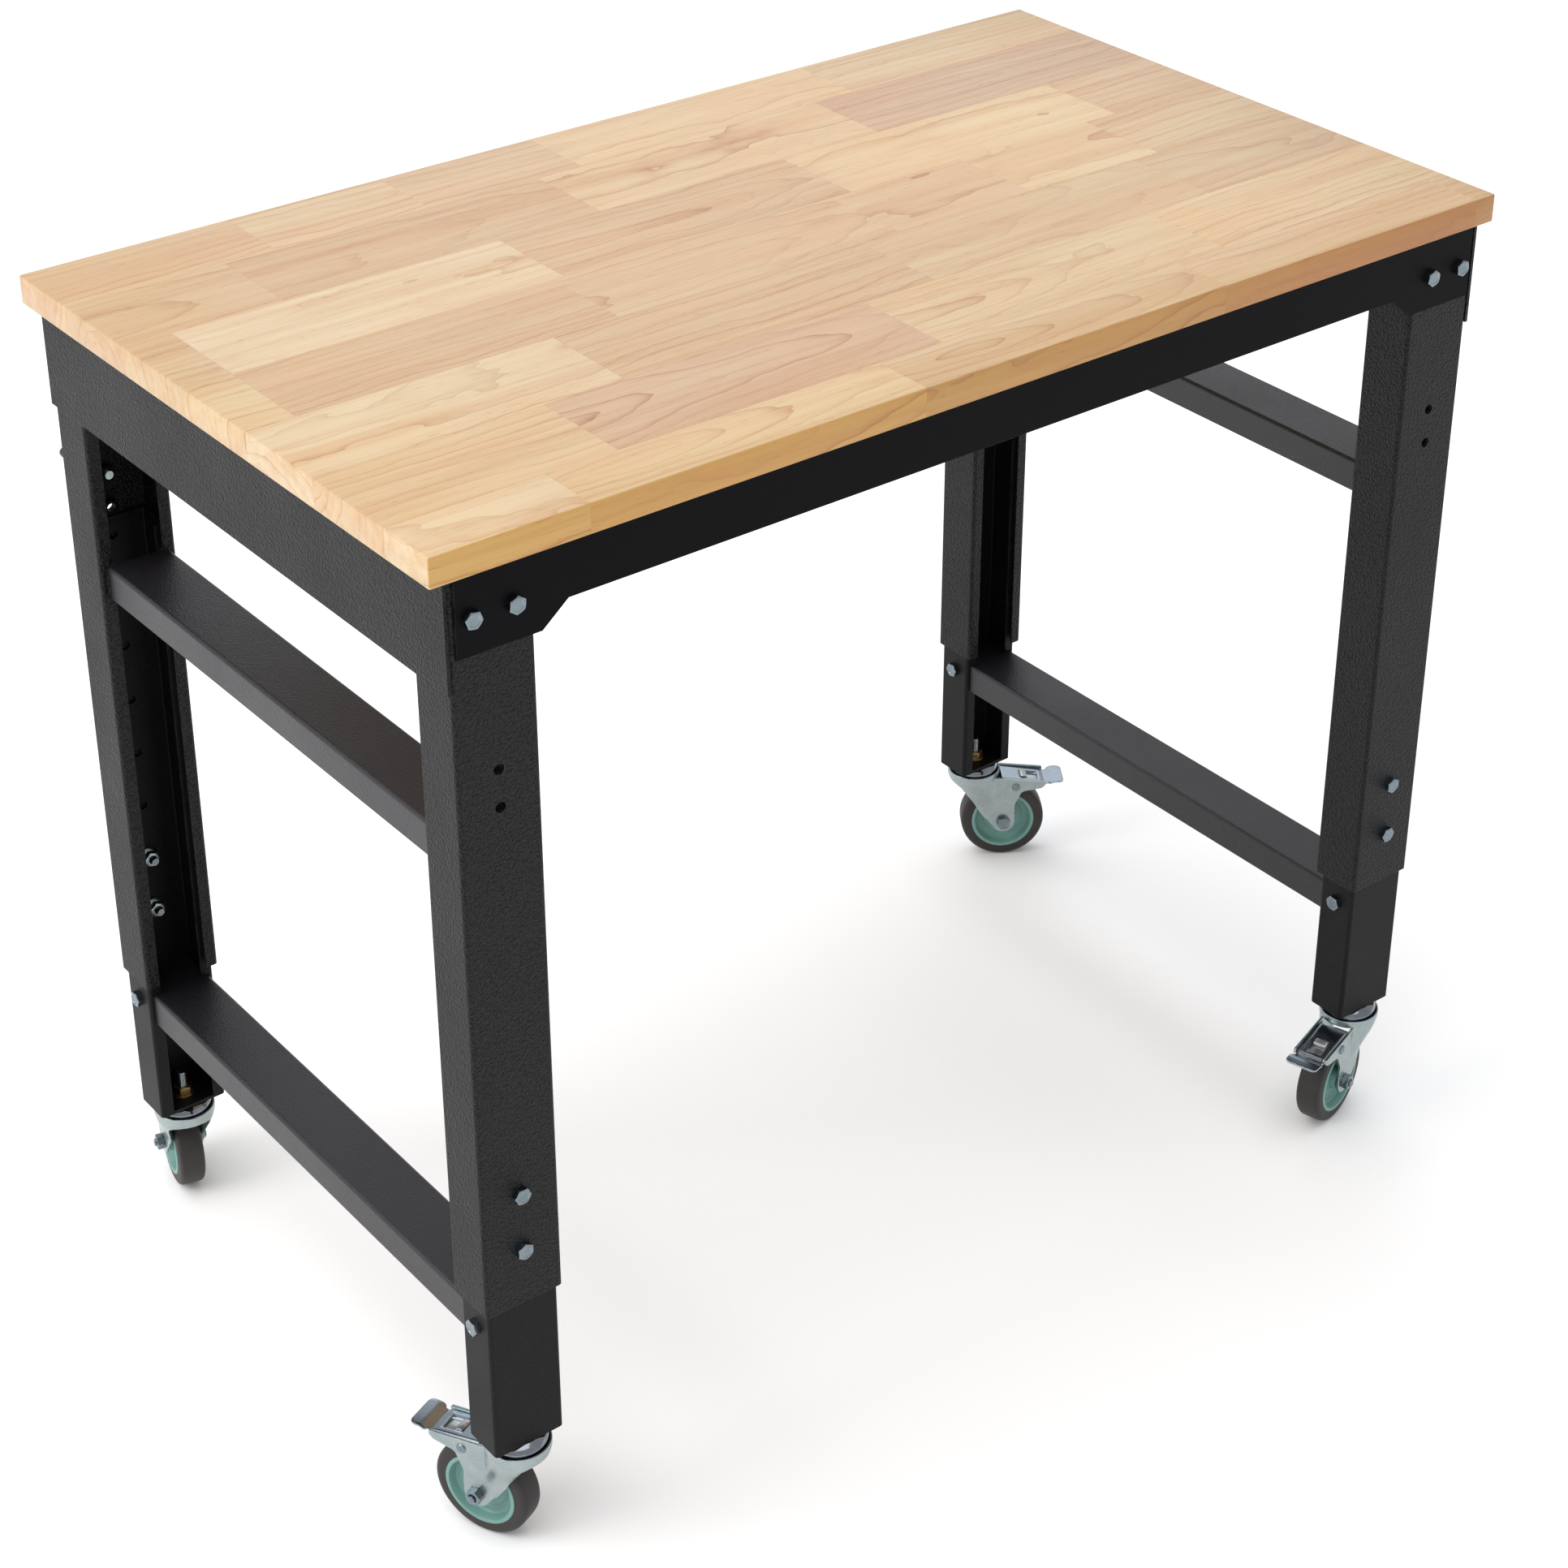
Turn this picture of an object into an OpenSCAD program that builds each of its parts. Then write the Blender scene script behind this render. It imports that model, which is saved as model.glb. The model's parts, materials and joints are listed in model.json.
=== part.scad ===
// Rolling workbench: a solid wood top on two steel end frames with telescoping legs, joined by two
// aprons and standing on four swivel castors with brakes. Millimetres. The origin is on the floor
// under the middle of the worktop: +X is to the right along the worktop, +Y to the back, +Z up.

/* [Worktop] */
// Length of the worktop
top_length = 1067; // [1060:1:1300]
// Depth of the worktop, front to back
top_depth = 610; // [606:1:760]
// Thickness of the worktop
top_thickness = 25; // [22:1:40]
// Height of the worktop's upper face at the lowest setting
work_height = 943; // [930:1:980]

/* [Frame] */
// Frame length over the leg flanges
frame_length = 1035; // [1010:1:1035]
// Frame depth over the leg webs
frame_depth = 600; // [560:1:600]
// Steel sheet thickness of legs, aprons and rails
sheet = 2; // [1.5:0.1:2.2]
// Thickness of the end rails
end_rail_sheet = 3; // [2:0.1:3]

/* [Legs] */
// Width of an upper leg's web
leg_width = 71; // [70:1:72]
// Depth of an upper leg's flanges
leg_depth = 49; // [48:1:55]
// Width of the lips that close the leg channels
lip = 12; // [8:1:14]
// Upper leg length
upper_leg_length = 654; // [640:1:660]
// Lower leg length
lower_leg_length = 596; // [590:1:596]
// Spacing of the height holes, and of the two locking bolts
hole_pitch = 54; // [50:1:54]
// Height of the lower locking bolt above the floor
lock_bolt_z = 317; // [310:1:320]

/* [Rails] */
// Depth of the plain part of an apron
apron_depth = 45; // [40:1:50]
// Depth of an apron's gusset at a leg
gusset_depth = 64; // [58:1:70]
// Depth of an end rail
end_rail_depth = 91; // [80:1:100]
// Width of a mid rail
mid_rail_width = 57; // [50:1:60]
// Width of a foot rail
foot_rail_width = 56; // [50:1:56]

/* [Castors] */
// Wheel diameter
wheel_diameter = 90; // [86:1:92]
// Wheel width over the tyre
wheel_width = 26; // [24:1:26]
// Distance from the swivel axis back to the axle
trail = 32; // [30:1:34]
// Swivel angle of the front left castor
swivel_front_left = 113; // [0:1:360]
// Swivel angle of the front right castor
swivel_front_right = 196; // [0:1:360]
// Swivel angle of the rear left castor
swivel_rear_left = 76; // [0:1:360]
// Swivel angle of the rear right castor
swivel_rear_right = -34; // [-180:1:180]

/* [Hidden] */
$fn = 48;
eps = 0.01;
bend = 3.5;                                  // outside radius of a sheet bend
hole_r = 4.5;                                // clearance hole for an M8 bolt
shank_r = 4;                                 // M8
hex_r = 13 / 2 / cos(30);                    // 13 mm across flats
head_h = 5.3;
nut_h = 6.5;

top_under = work_height - top_thickness;     // underside of the worktop
leg_x = frame_length / 2 - leg_width / 2;    // leg centre line
web_y = frame_depth / 2;                     // outer face of a leg's web

slide_gap = 1;                               // between an upper leg and the lower leg inside it
lower_width = leg_width - 2 * (sheet + slide_gap);
lower_depth = 40;
lower_web_y = sheet + slide_gap;             // lower web's outer face, inward from the upper one
nut_gap = 0.3;                               // lets a lower leg pass the nuts inside it
lower_leg_z = 116;                           // bottom end of a lower leg
foot_plate = 3;                              // plate that closes a lower leg
height_steps = 6;

spare_hole_z = top_under - 196;              // lower of two threaded spare holes in each upper leg
spare_hole_gap = 32;
weld_nut_h = 7;

apron_bolt_z = top_under - 34;
apron_bolt_gap = 36;
apron_end = frame_length / 2 - 4.5;
gusset_in = apron_end - 71.5;                // where the gusset's chamfer starts
gusset_out = apron_end - 94.5;               // where the chamfer meets the plain edge
flange = 20;                                 // flange under the worktop

mid_rail_z = top_under - 226;
mid_rail_depth = 29;
foot_rail_z = top_under - 666;
foot_rail_depth = 30;
foot_bolt_z = foot_rail_z - 11;
foot_bolt_y = 23;                            // in from the upper leg's web
stem_y = lower_web_y + lower_depth / 2 - 1.2;  // swivel axis, in from the upper leg's web

screw_r = 2;
screw_xs = [-300, 0, 300];
screw_ys = [-150, 150];

wheel_r = wheel_diameter / 2;
half_wheel = wheel_width / 2;
rim_r = 33.7;                                // hub outside, tyre seat
fork_in = half_wheel + 2.2;                  // inner face of a fork cheek
fork_sheet = 2.3;
fork_out = fork_in + fork_sheet;
crown_z = 101.5;
crown_h = 2.5;
crown_r = 28;
pin = [44.6, 88.9];                          // brake pedal pivot, along the trail and up
pin_r = 2.5;
arm_end = 76.5;                              // rear end of the fork's arms
stem_r = 5;
ball_r = 2.5;
ball_ring_r = 19;

// name, side along X, side along Y, swivel angle
CORNERS = [
  ["front_left", -1, -1, swivel_front_left],
  ["front_right", 1, -1, swivel_front_right],
  ["rear_left", -1, 1, swivel_rear_left],
  ["rear_right", 1, 1, swivel_rear_right]
];
SIDES = [["left", -1], ["right", 1]];
ROOT_NODES = [
  "worktop", "front_apron", "rear_apron", "left_end_rail", "right_end_rail", "left_mid_rail",
  "right_mid_rail", "worktop_screws", "apron_bolts", "apron_nuts", "height_bolts", "height_nuts",
  "weld_nuts", "rear_knob"
];
CORNER_NODES = ["upper_leg", "lower_leg", "fork", "axle_set", "brake_pedal", "brake_shoe", "hub", "tyre"];
SIDE_NODES = ["foot_rail", "foot_bolts", "foot_nuts", "castor_stems", "stem_nuts", "swivel_balls"];

STEEL = "#2b2b2d";
ZINC = "#b4bcc0";
CHROME = "#d5d9dc";
BRASS = "#c79a4a";
TEAL = "#74b3a6";
RUBBER = "#3d3936";
WOOD = "#d9b07c";

// ---------- helpers ----------

// Moves children from a corner frame to the bench. In it x = 0 is the leg's centre, y = 0 the
// outer face of the upper leg's web and +y points inward.
module at_corner(c) {
  translate([c[1] * leg_x, c[2] * web_y, 0]) mirror([0, c[2] > 0 ? 1 : 0, 0]) children();
}

// Moves children from a castor frame: x runs from the swivel axis towards the pedal, z = 0 is the floor.
module at_castor(c) {
  translate([c[1] * leg_x, c[2] * (web_y - stem_y), 0]) rotate([0, 0, c[3]]) children();
}

// Solid along +y from y = 0, drawn from a shape in x and z
module along_y(length) {
  rotate([90, 0, 0]) translate([0, 0, -length]) linear_extrude(length) children();
}

module rod_y(r, length) {
  rotate([-90, 0, 0]) cylinder(h = length, r = r);
}

module hex_y(r, length) {
  rotate([-90, 0, 0]) cylinder(h = length, r = r, $fn = 6);
}

module rod_x(r, length) {
  rotate([0, 90, 0]) cylinder(h = length, r = r);
}

module hex_x(r, length) {
  rotate([0, 90, 0]) cylinder(h = length, r = r, $fn = 6);
}

// Rectangle with round corners, x centred, y from 0 to d
module round_rect(w, d, r) {
  translate([-w / 2 + r, 0]) square([w - 2 * r, d]);
  translate([-w / 2, r]) square([w, d - 2 * r]);
  for (x = [-w / 2 + r, w / 2 - r], y = [r, d - r]) translate([x, y]) circle(r = r);
}

// Lipped channel: web at y = 0, opening towards +y
module channel_section(w, d) {
  difference() {
    round_rect(w, d, bend);
    translate([0, sheet]) round_rect(w - 2 * sheet, d - 2 * sheet, bend - sheet);
    translate([-w / 2 + lip, d / 2]) square([w - 2 * lip, d]);
  }
}

// Plain channel along y with its web on top: z = 0 is the top face
module rail_section(w, d) {
  difference() {
    translate([0, -d]) round_rect(w, d, bend);
    translate([0, -d - sheet]) round_rect(w - 2 * sheet, d, bend - sheet);
    translate([-w / 2, -d - eps]) square([w, bend + eps]);
  }
  for (s = [-1, 1]) translate([s * (w / 2 - sheet / 2), -d + bend / 2]) square([sheet, bend + 1], center = true);
}

// ---------- top and frame ----------

module worktop() {
  color(WOOD) difference() {
    translate([-top_length / 2, -top_depth / 2, top_under]) cube([top_length, top_depth, top_thickness]);
    worktop_screw_places() translate([0, 0, -1]) cylinder(h = 17.5, r = screw_r + 0.05);
  }
}

module worktop_screw_places() {
  for (x = screw_xs, s = [-1, 1]) translate([x, s * (web_y - 12), top_under]) children();
  for (y = screw_ys, s = [-1, 1]) translate([s * (frame_length / 2 - 12), y, top_under]) children();
}

module worktop_screws() {
  color(ZINC) worktop_screw_places() {
    translate([0, 0, -sheet]) cylinder(h = sheet + 16, r = screw_r);
    translate([0, 0, -sheet - 2.4]) cylinder(h = 2.4, r = 4.5);
  }
}

module apron(side) {
  color(STEEL) mirror([0, side > 0 ? 1 : 0, 0]) difference() {
    union() {
      translate([0, -web_y - sheet, 0]) along_y(sheet) polygon([
        [-apron_end, top_under], [-apron_end, top_under - gusset_depth],
        [-gusset_in, top_under - gusset_depth], [-gusset_out, top_under - apron_depth],
        [gusset_out, top_under - apron_depth], [gusset_in, top_under - gusset_depth],
        [apron_end, top_under - gusset_depth], [apron_end, top_under]
      ]);
      translate([-gusset_in, -web_y - sheet / 2, top_under - sheet])
        cube([2 * gusset_in, flange + sheet / 2, sheet]);
    }
    for (s = [-1, 1], g = [-1, 1])
      translate([s * leg_x + g * apron_bolt_gap / 2, -web_y - sheet - 1, apron_bolt_z]) rod_y(hole_r, sheet + 2);
    for (x = screw_xs) translate([x, -web_y + 12, top_under - sheet - 1]) cylinder(h = sheet + 2, r = screw_r + 0.5);
  }
}

module end_rail(side) {
  color(STEEL) difference() {
    union() {
      translate([side > 0 ? frame_length / 2 : -frame_length / 2 - end_rail_sheet, -web_y,
        top_under - end_rail_depth]) cube([end_rail_sheet, 2 * web_y, end_rail_depth]);
      translate([side * (frame_length / 2 - flange / 2 + 0.5) - flange / 2 - 0.5, -web_y + leg_depth + 2,
        top_under - sheet]) cube([flange + 1, 2 * (web_y - leg_depth - 2), sheet]);
    }
    for (y = screw_ys)
      translate([side * (frame_length / 2 - 12), y, top_under - sheet - 1]) cylinder(h = sheet + 2, r = screw_r + 0.5);
  }
}

module mid_rail(side) {
  length = 2 * (web_y - leg_depth);
  color(STEEL) translate([side * leg_x, -length / 2, mid_rail_z]) along_y(length)
    rail_section(mid_rail_width, mid_rail_depth);
}

module upper_leg(c) {
  color(STEEL) at_corner(c) difference() {
    translate([0, 0, top_under - upper_leg_length]) linear_extrude(upper_leg_length)
      channel_section(leg_width, leg_depth);
    for (g = [-1, 1]) translate([g * apron_bolt_gap / 2, -1, apron_bolt_z]) rod_y(hole_r, sheet + 2);
    for (k = [0, 1]) translate([0, -1, spare_hole_z + k * spare_hole_gap]) rod_y(hole_r, sheet + 2);
    for (k = [0, 1]) translate([0, -1, lock_bolt_z + k * hole_pitch]) rod_y(hole_r, sheet + 2);
  }
}

module apron_bolts() {
  color(ZINC) for (c = CORNERS, g = [-1, 1]) at_corner(c) translate([g * apron_bolt_gap / 2, 0, apron_bolt_z]) {
    translate([0, -sheet - head_h, 0]) hex_y(hex_r, head_h);
    translate([0, -sheet, 0]) rod_y(shank_r, 2 * sheet + nut_h + 2);
  }
}

module apron_nuts() {
  color(ZINC) for (c = CORNERS, g = [-1, 1]) at_corner(c)
    translate([g * apron_bolt_gap / 2, sheet, apron_bolt_z]) difference() {
      hex_y(hex_r, nut_h);
      translate([0, -1, 0]) rod_y(shank_r, nut_h + 2);
    }
}

module height_bolts() {
  color(ZINC) for (c = CORNERS, k = [0, 1]) at_corner(c) translate([0, 0, lock_bolt_z + k * hole_pitch]) {
    translate([0, -head_h, 0]) hex_y(hex_r, head_h);
    rod_y(shank_r, 2 * sheet + slide_gap + nut_gap + nut_h + 6);
  }
}

module height_nuts() {
  color(ZINC) for (c = CORNERS, k = [0, 1]) at_corner(c)
    translate([0, 2 * sheet + slide_gap + nut_gap, lock_bolt_z + k * hole_pitch]) difference() {
      union() {
        rod_y(8.9, 1.4);
        hex_y(hex_r, 8);
      }
      translate([0, -1, 0]) rod_y(shank_r, 10);
    }
}

module weld_nuts() {
  color(ZINC) for (c = CORNERS, k = [0, 1]) at_corner(c)
    translate([0, sheet, spare_hole_z + k * spare_hole_gap]) difference() {
      rod_y(7, weld_nut_h);
      translate([0, -1, 0]) rod_y(shank_r, weld_nut_h + 2);
    }
}

// Lobed hand knob on a stud, kept in the rear left leg's upper spare hole
module rear_knob() {
  knob_r = 13;
  color(STEEL) at_corner(CORNERS[2]) translate([0, 0, spare_hole_z + spare_hole_gap]) {
    translate([0, -46, 0]) rod_y(knob_r, 15);
    for (a = [0 : 72 : 288]) rotate([0, a + 36, 0]) translate([knob_r + 1.5, -46, 0]) rod_y(5, 15);
    translate([0, -32, 0]) rod_y(8, 27);
    translate([0, -6, 0]) rod_y(shank_r - 0.03, 6 + sheet + weld_nut_h + 3);
  }
}

// ---------- lower frames ----------

module lower_leg(c) {
  color(STEEL) at_corner(c) translate([0, lower_web_y, 0]) difference() {
    union() {
      translate([0, 0, lower_leg_z]) linear_extrude(lower_leg_length) channel_section(lower_width, lower_depth);
      translate([0, 0, lower_leg_z]) linear_extrude(foot_plate) round_rect(lower_width, lower_depth, bend);
    }
    for (k = [0 : height_steps + 1]) translate([0, -1, lock_bolt_z + k * hole_pitch]) rod_y(hole_r, sheet + 2);
    translate([-lower_width, foot_bolt_y - lower_web_y, foot_bolt_z]) rod_x(hole_r, 2 * lower_width);
    translate([-foot_rail_width / 2 - 0.1, lower_depth - bend - eps, foot_rail_z - foot_rail_depth - 0.5])
      cube([foot_rail_width + 0.2, bend + 1, foot_rail_depth + 1]);
    translate([0, stem_y - lower_web_y, lower_leg_z - 1]) cylinder(h = foot_plate + 2, r = stem_r + 0.3);
  }
}

module foot_rail(side) {
  length = 2 * (web_y - lower_web_y - sheet - 1);
  color(STEEL) translate([side * leg_x, 0, 0]) difference() {
    translate([0, -length / 2, foot_rail_z]) along_y(length) rail_section(foot_rail_width, foot_rail_depth);
    for (s = [-1, 1]) translate([-leg_width, s * (web_y - foot_bolt_y), foot_bolt_z]) rod_x(hole_r, 2 * leg_width);
  }
}

// Places children at a side's four foot rail bolts, with +x pointing out through the leg's flange
module foot_bolt_places(side) {
  for (s = [-1, 1], f = [0, 1])
    translate([side * leg_x, s * (web_y - foot_bolt_y), foot_bolt_z]) mirror([f, 0, 0]) children();
}

module foot_bolts(side) {
  color(ZINC) foot_bolt_places(side) {
    translate([lower_width / 2, 0, 0]) hex_x(hex_r, head_h);
    translate([lower_width / 2 - 16, 0, 0]) rod_x(shank_r, 16);
  }
}

module foot_nuts(side) {
  color(ZINC) foot_bolt_places(side) difference() {
    translate([foot_rail_width / 2 - sheet - nut_h, 0, 0]) hex_x(hex_r, nut_h);
    translate([0, 0, 0]) rod_x(shank_r, lower_width);
  }
}

module stem_places(side) {
  for (s = [-1, 1]) translate([side * leg_x, s * (web_y - stem_y), 0]) children();
}

// Stud, domed upper race and the headed lower end that carries the fork
module castor_stems(side) {
  color(CHROME) stem_places(side) {
    translate([0, 0, crown_z - 6]) cylinder(h = 143 - crown_z + 6, r = stem_r);
    translate([0, 0, crown_z - 4]) cylinder(h = 3.6, r = 11);
    difference() {
      rotate_extrude() polygon([
        [0, lower_leg_z], [19, lower_leg_z], [23.5, 113.5], [25.2, 110], [25.2, 106], [0, 106]
      ]);
      translate([0, 0, 105]) cylinder(h = 4, r = 23);
    }
  }
}

module stem_nuts(side) {
  color(BRASS) stem_places(side) difference() {
    union() {
      translate([0, 0, lower_leg_z + foot_plate]) cylinder(h = 1.8, r = 10.5);
      translate([0, 0, lower_leg_z + foot_plate]) cylinder(h = 9.8, r = 16 / 2 / cos(30), $fn = 6);
    }
    translate([0, 0, lower_leg_z]) cylinder(h = 20, r = stem_r + 0.03);
  }
}

module swivel_balls(side) {
  color(CHROME) stem_places(side)
    for (a = [0 : 30 : 330]) rotate([0, 0, a]) translate([ball_ring_r, 0, crown_z + crown_h + ball_r]) sphere(r = ball_r - 0.05);
}

// ---------- castors ----------

// Side outline of a fork: crown, front edge down to the axle, and the arm that holds the pedal
module fork_outline() {
  difference() {
    union() {
      polygon([
        [-crown_r, crown_z + crown_h], [-crown_r, 98], [-23, 97], [-12, 85], [20, 42],
        [trail, wheel_r], [43.5, wheel_r], [43.5, 66], [49, 78], [56, 84], [arm_end - 3, 86.5],
        [arm_end, 90], [arm_end, 94], [crown_r, 101], [crown_r, crown_z + crown_h]
      ]);
      translate([trail, wheel_r]) circle(r = 12);
    }
    translate([trail, wheel_r]) circle(r = hole_r);
    translate(pin) circle(r = pin_r + 0.05);
  }
}

// Crown skirt, drawn solid: it narrows from the round crown to the two cheeks
module fork_body(r, half) {
  hull() {
    translate([0, 0, crown_z]) cylinder(h = 1, r = r, $fn = 32);
    translate([-14, -half, 84]) cube([30, 2 * half, 1]);
  }
  translate([-14, -half, 30]) cube([100, 2 * half, 60]);
  translate([14, -half, 30]) cube([100, 2 * half, 80]);
}

module fork(c) {
  color(ZINC) at_castor(c) difference() {
    union() {
      intersection() {
        translate([0, -crown_r - 1, 0]) along_y(2 * crown_r + 2) fork_outline();
        difference() {
          fork_body(crown_r, fork_out);
          translate([0, 0, -0.6]) fork_body(crown_r - fork_sheet, fork_in);
        }
      }
      translate([0, 0, crown_z]) cylinder(h = crown_h, r = crown_r);
      difference() {
        translate([0, 0, crown_z]) cylinder(h = 6, r = crown_r);
        translate([0, 0, crown_z + 1]) cylinder(h = 8, r = crown_r - 2);
      }
    }
    translate([0, 0, crown_z - 1]) cylinder(h = crown_h + 2, r = stem_r + 0.6);
  }
}

// Axle bolt with its nut and bush, and the two rivets that carry the brake pedal
module axle_set(c) {
  color(ZINC) at_castor(c) {
    translate([trail, 0, wheel_r]) {
      translate([0, -fork_out - head_h, 0]) hex_y(hex_r, head_h);
      translate([0, -fork_out, 0]) rod_y(shank_r, 2 * fork_out + nut_h + 2);
      difference() {
        translate([0, fork_out, 0]) hex_y(hex_r, nut_h);
        rod_y(shank_r, 40);
      }
      difference() {
        translate([0, -fork_in, 0]) rod_y(6, 2 * fork_in);
        translate([0, -20, 0]) rod_y(shank_r, 40);
      }
    }
    for (s = [0, 1]) mirror([0, s, 0]) translate([pin[0], 0, pin[1]]) {
      translate([0, half_wheel + 0.3, 0]) rod_y(pin_r, fork_out - half_wheel);
      translate([0, fork_out, 0]) rod_y(4.5, 1.8);
    }
  }
}

pedal_from = [pin[0] - 14.6, 98.6];          // upper face of the pedal's plate at the crown
pedal_to = [arm_end + 1, 91.4];              // and at the fork's arm ends
pedal_slope = atan2(pedal_to[1] - pedal_from[1], pedal_to[0] - pedal_from[0]);
pedal_sheet = 1.6;
tab_bend = 14;                               // lift of the foot tab from the plate
plate_half = fork_in - 0.4;
plate_length = norm(pedal_to - pedal_from);

// Stamped brake pedal: a windowed plate between the fork's arms, two ears and a foot tab
module brake_pedal(c) {
  color(ZINC) at_castor(c) difference() {
    union() {
      translate([pedal_from[0], 0, pedal_from[1]]) rotate([0, -pedal_slope, 0]) {
        difference() {
          translate([0, -plate_half, -pedal_sheet]) cube([plate_length, 2 * plate_half, pedal_sheet]);
          translate([plate_length * 0.42, -7.5, -5]) cube([20, 15, 10]);
        }
        translate([plate_length - 1.2, 0, -pedal_sheet]) rotate([0, -tab_bend, 0])
          linear_extrude(pedal_sheet) polygon([
            [0, -12.5], [3.5, -12.5], [6, -17.3], [15, -17.3], [20, -14.3], [22.5, -9],
            [22.5, 9], [20, 14.3], [15, 17.3], [6, 17.3], [3.5, 12.5], [0, 12.5]
          ]);
      }
      for (s = [-1, 1]) translate([0, s > 0 ? plate_half - pedal_sheet - 0.1 : -plate_half + 0.1, 0])
        along_y(pedal_sheet) polygon([[38, 88], [40, 84.8], [46, 83.6], [50, 85.6], [60, 90.5], [60, 93], [38, 96.2]]);
    }
    translate([pin[0], -20, pin[1]]) rod_y(pin_r + 0.1, 40);
    translate([0, 0, 80]) cylinder(h = 40, r = crown_r + 1);
  }
}

// Sprung brake shoe under the pedal's plate, seen through its window
module brake_shoe(c) {
  shoe = [[46, 94.2], [74, 90], [74, 88.9], [61, 89.2], [60.2, 84.7], [58.5, 84.9], [58.5, 89.6], [46, 91.2]];
  color(ZINC) at_castor(c) translate([0, -9, 0]) along_y(18) polygon(shoe);
}

// Wheel profiles: radius and distance from the middle plane, turned about the axle
module on_axle(c) {
  at_castor(c) translate([trail, 0, wheel_r]) rotate([90, 0, 0]) children();
}

module hub(c) {
  rim = rim_r - 3.4;
  color(TEAL) on_axle(c) rotate_extrude($fn = 96) polygon([
    [6.05, -half_wheel], [11, -half_wheel], [12, -6], [rim - 3, -5], [rim, -half_wheel + 0.5],
    [rim, -half_wheel], [rim_r, -half_wheel], [rim_r, half_wheel], [rim, half_wheel],
    [rim, half_wheel - 0.5], [rim - 3, 5], [12, 6], [11, half_wheel], [6.05, half_wheel]
  ]);
}

module tyre(c) {
  crown_half = half_wheel - 4.5;
  shoulder = 7;
  steps = 6;
  arc = [for (k = [0 : steps]) let (a = 90 * k / steps)
    [wheel_r - shoulder + shoulder * cos(a), crown_half + (half_wheel - 0.6 - crown_half) * sin(a)]];
  side = [for (k = [0 : steps]) arc[steps - k]];
  color(RUBBER) on_axle(c) rotate_extrude($fn = 96) polygon(concat(
    [[rim_r, half_wheel - 0.6]], side,
    [for (p = arc) [p[0], -p[1]]], [[rim_r, -half_wheel + 0.6]]
  ));
}

// ---------- build ----------

worktop();
apron(-1);  // front_apron
apron(1);  // rear_apron
end_rail(-1);  // left_end_rail
end_rail(1);  // right_end_rail
mid_rail(-1);  // left_mid_rail
mid_rail(1);  // right_mid_rail
worktop_screws();
apron_bolts();
apron_nuts();
height_bolts();
height_nuts();
weld_nuts();
rear_knob();
for (c = CORNERS) {
  upper_leg(c);
  lower_leg(c);
  fork(c);
  axle_set(c);
  brake_pedal(c);
  brake_shoe(c);
  hub(c);
  tyre(c);
}
for (s = SIDES) {
  foot_rail(s[1]);
  foot_bolts(s[1]);
  foot_nuts(s[1]);
  castor_stems(s[1]);
  stem_nuts(s[1]);
  swivel_balls(s[1]);
}
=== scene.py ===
"""Rolling workbench on castors: the visual model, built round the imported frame. Metres."""

import json
import math
import random

import bmesh
import bpy
from mathutils import Matrix, Vector
from mathutils.geometry import delaunay_2d_cdt


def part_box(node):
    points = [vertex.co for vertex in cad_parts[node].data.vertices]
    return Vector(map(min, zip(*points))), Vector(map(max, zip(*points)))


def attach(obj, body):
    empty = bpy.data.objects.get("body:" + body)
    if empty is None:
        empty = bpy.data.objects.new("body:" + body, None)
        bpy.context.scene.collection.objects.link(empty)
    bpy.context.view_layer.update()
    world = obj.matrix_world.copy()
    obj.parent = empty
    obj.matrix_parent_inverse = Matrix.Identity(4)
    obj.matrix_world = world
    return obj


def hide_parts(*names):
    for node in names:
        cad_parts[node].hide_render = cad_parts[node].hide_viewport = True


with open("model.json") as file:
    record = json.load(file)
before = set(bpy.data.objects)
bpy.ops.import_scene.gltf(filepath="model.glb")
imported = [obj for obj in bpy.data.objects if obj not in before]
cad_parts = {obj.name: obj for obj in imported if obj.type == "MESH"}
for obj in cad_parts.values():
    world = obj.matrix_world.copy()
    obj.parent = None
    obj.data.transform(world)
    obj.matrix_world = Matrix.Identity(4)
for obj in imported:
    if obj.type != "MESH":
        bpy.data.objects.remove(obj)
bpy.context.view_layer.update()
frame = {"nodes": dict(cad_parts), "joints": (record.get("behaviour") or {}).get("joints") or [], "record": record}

MM = 0.001
DRAWS = random.Random(11)
NODE_BODY = {n: b for b, names in frame["record"]["behaviour"]["bodies"].items() for n in names}
JOINTS = {j["name"]: j for j in frame["joints"]}
CORNERS = ("front_left", "front_right", "rear_left", "rear_right")
SIDES = ("left", "right")
INWARD = {"front": 1, "rear": -1}          # from a leg's web towards the middle of the bench
UP = Vector((0, 0, 1))

# M8 hardware, in metres
FLATS, HEAD, NUT, SHANK, BORE = 0.013, 0.0053, 0.0065, 0.004, 0.0038
# where the holes of the legs are, in millimetres
LOCK_Z, LOCK_PITCH = 317, 54               # lower locking hole above the floor, and the hole spacing
SPARE_DROP, SPARE_PITCH = 196, 32          # lower spare hole under the worktop, and the pair's spacing
APRON_BOLT_DROP = 34                       # apron bolts under the worktop


# ---------- camera, light and floor ----------


def make_camera():
    data = bpy.data.cameras.new("camera")
    data.sensor_width = 36
    data.lens = 75.53
    data.shift_y = -0.12
    data.clip_end = 50
    camera = bpy.data.objects.new("camera", data)
    right = Vector((0.79056, -0.61238, -0.00052))
    forward = Vector((0.53621, 0.69264, -0.48241)).normalized()
    right = (right - forward * right.dot(forward)).normalized()
    turn = Matrix((right, right.cross(forward), -forward)).transposed()
    camera.matrix_world = Matrix.Translation((-1.5393, -1.9969, 1.9901)) @ turn.to_4x4()
    bpy.context.scene.collection.objects.link(camera)
    bpy.context.scene.camera = camera


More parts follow.
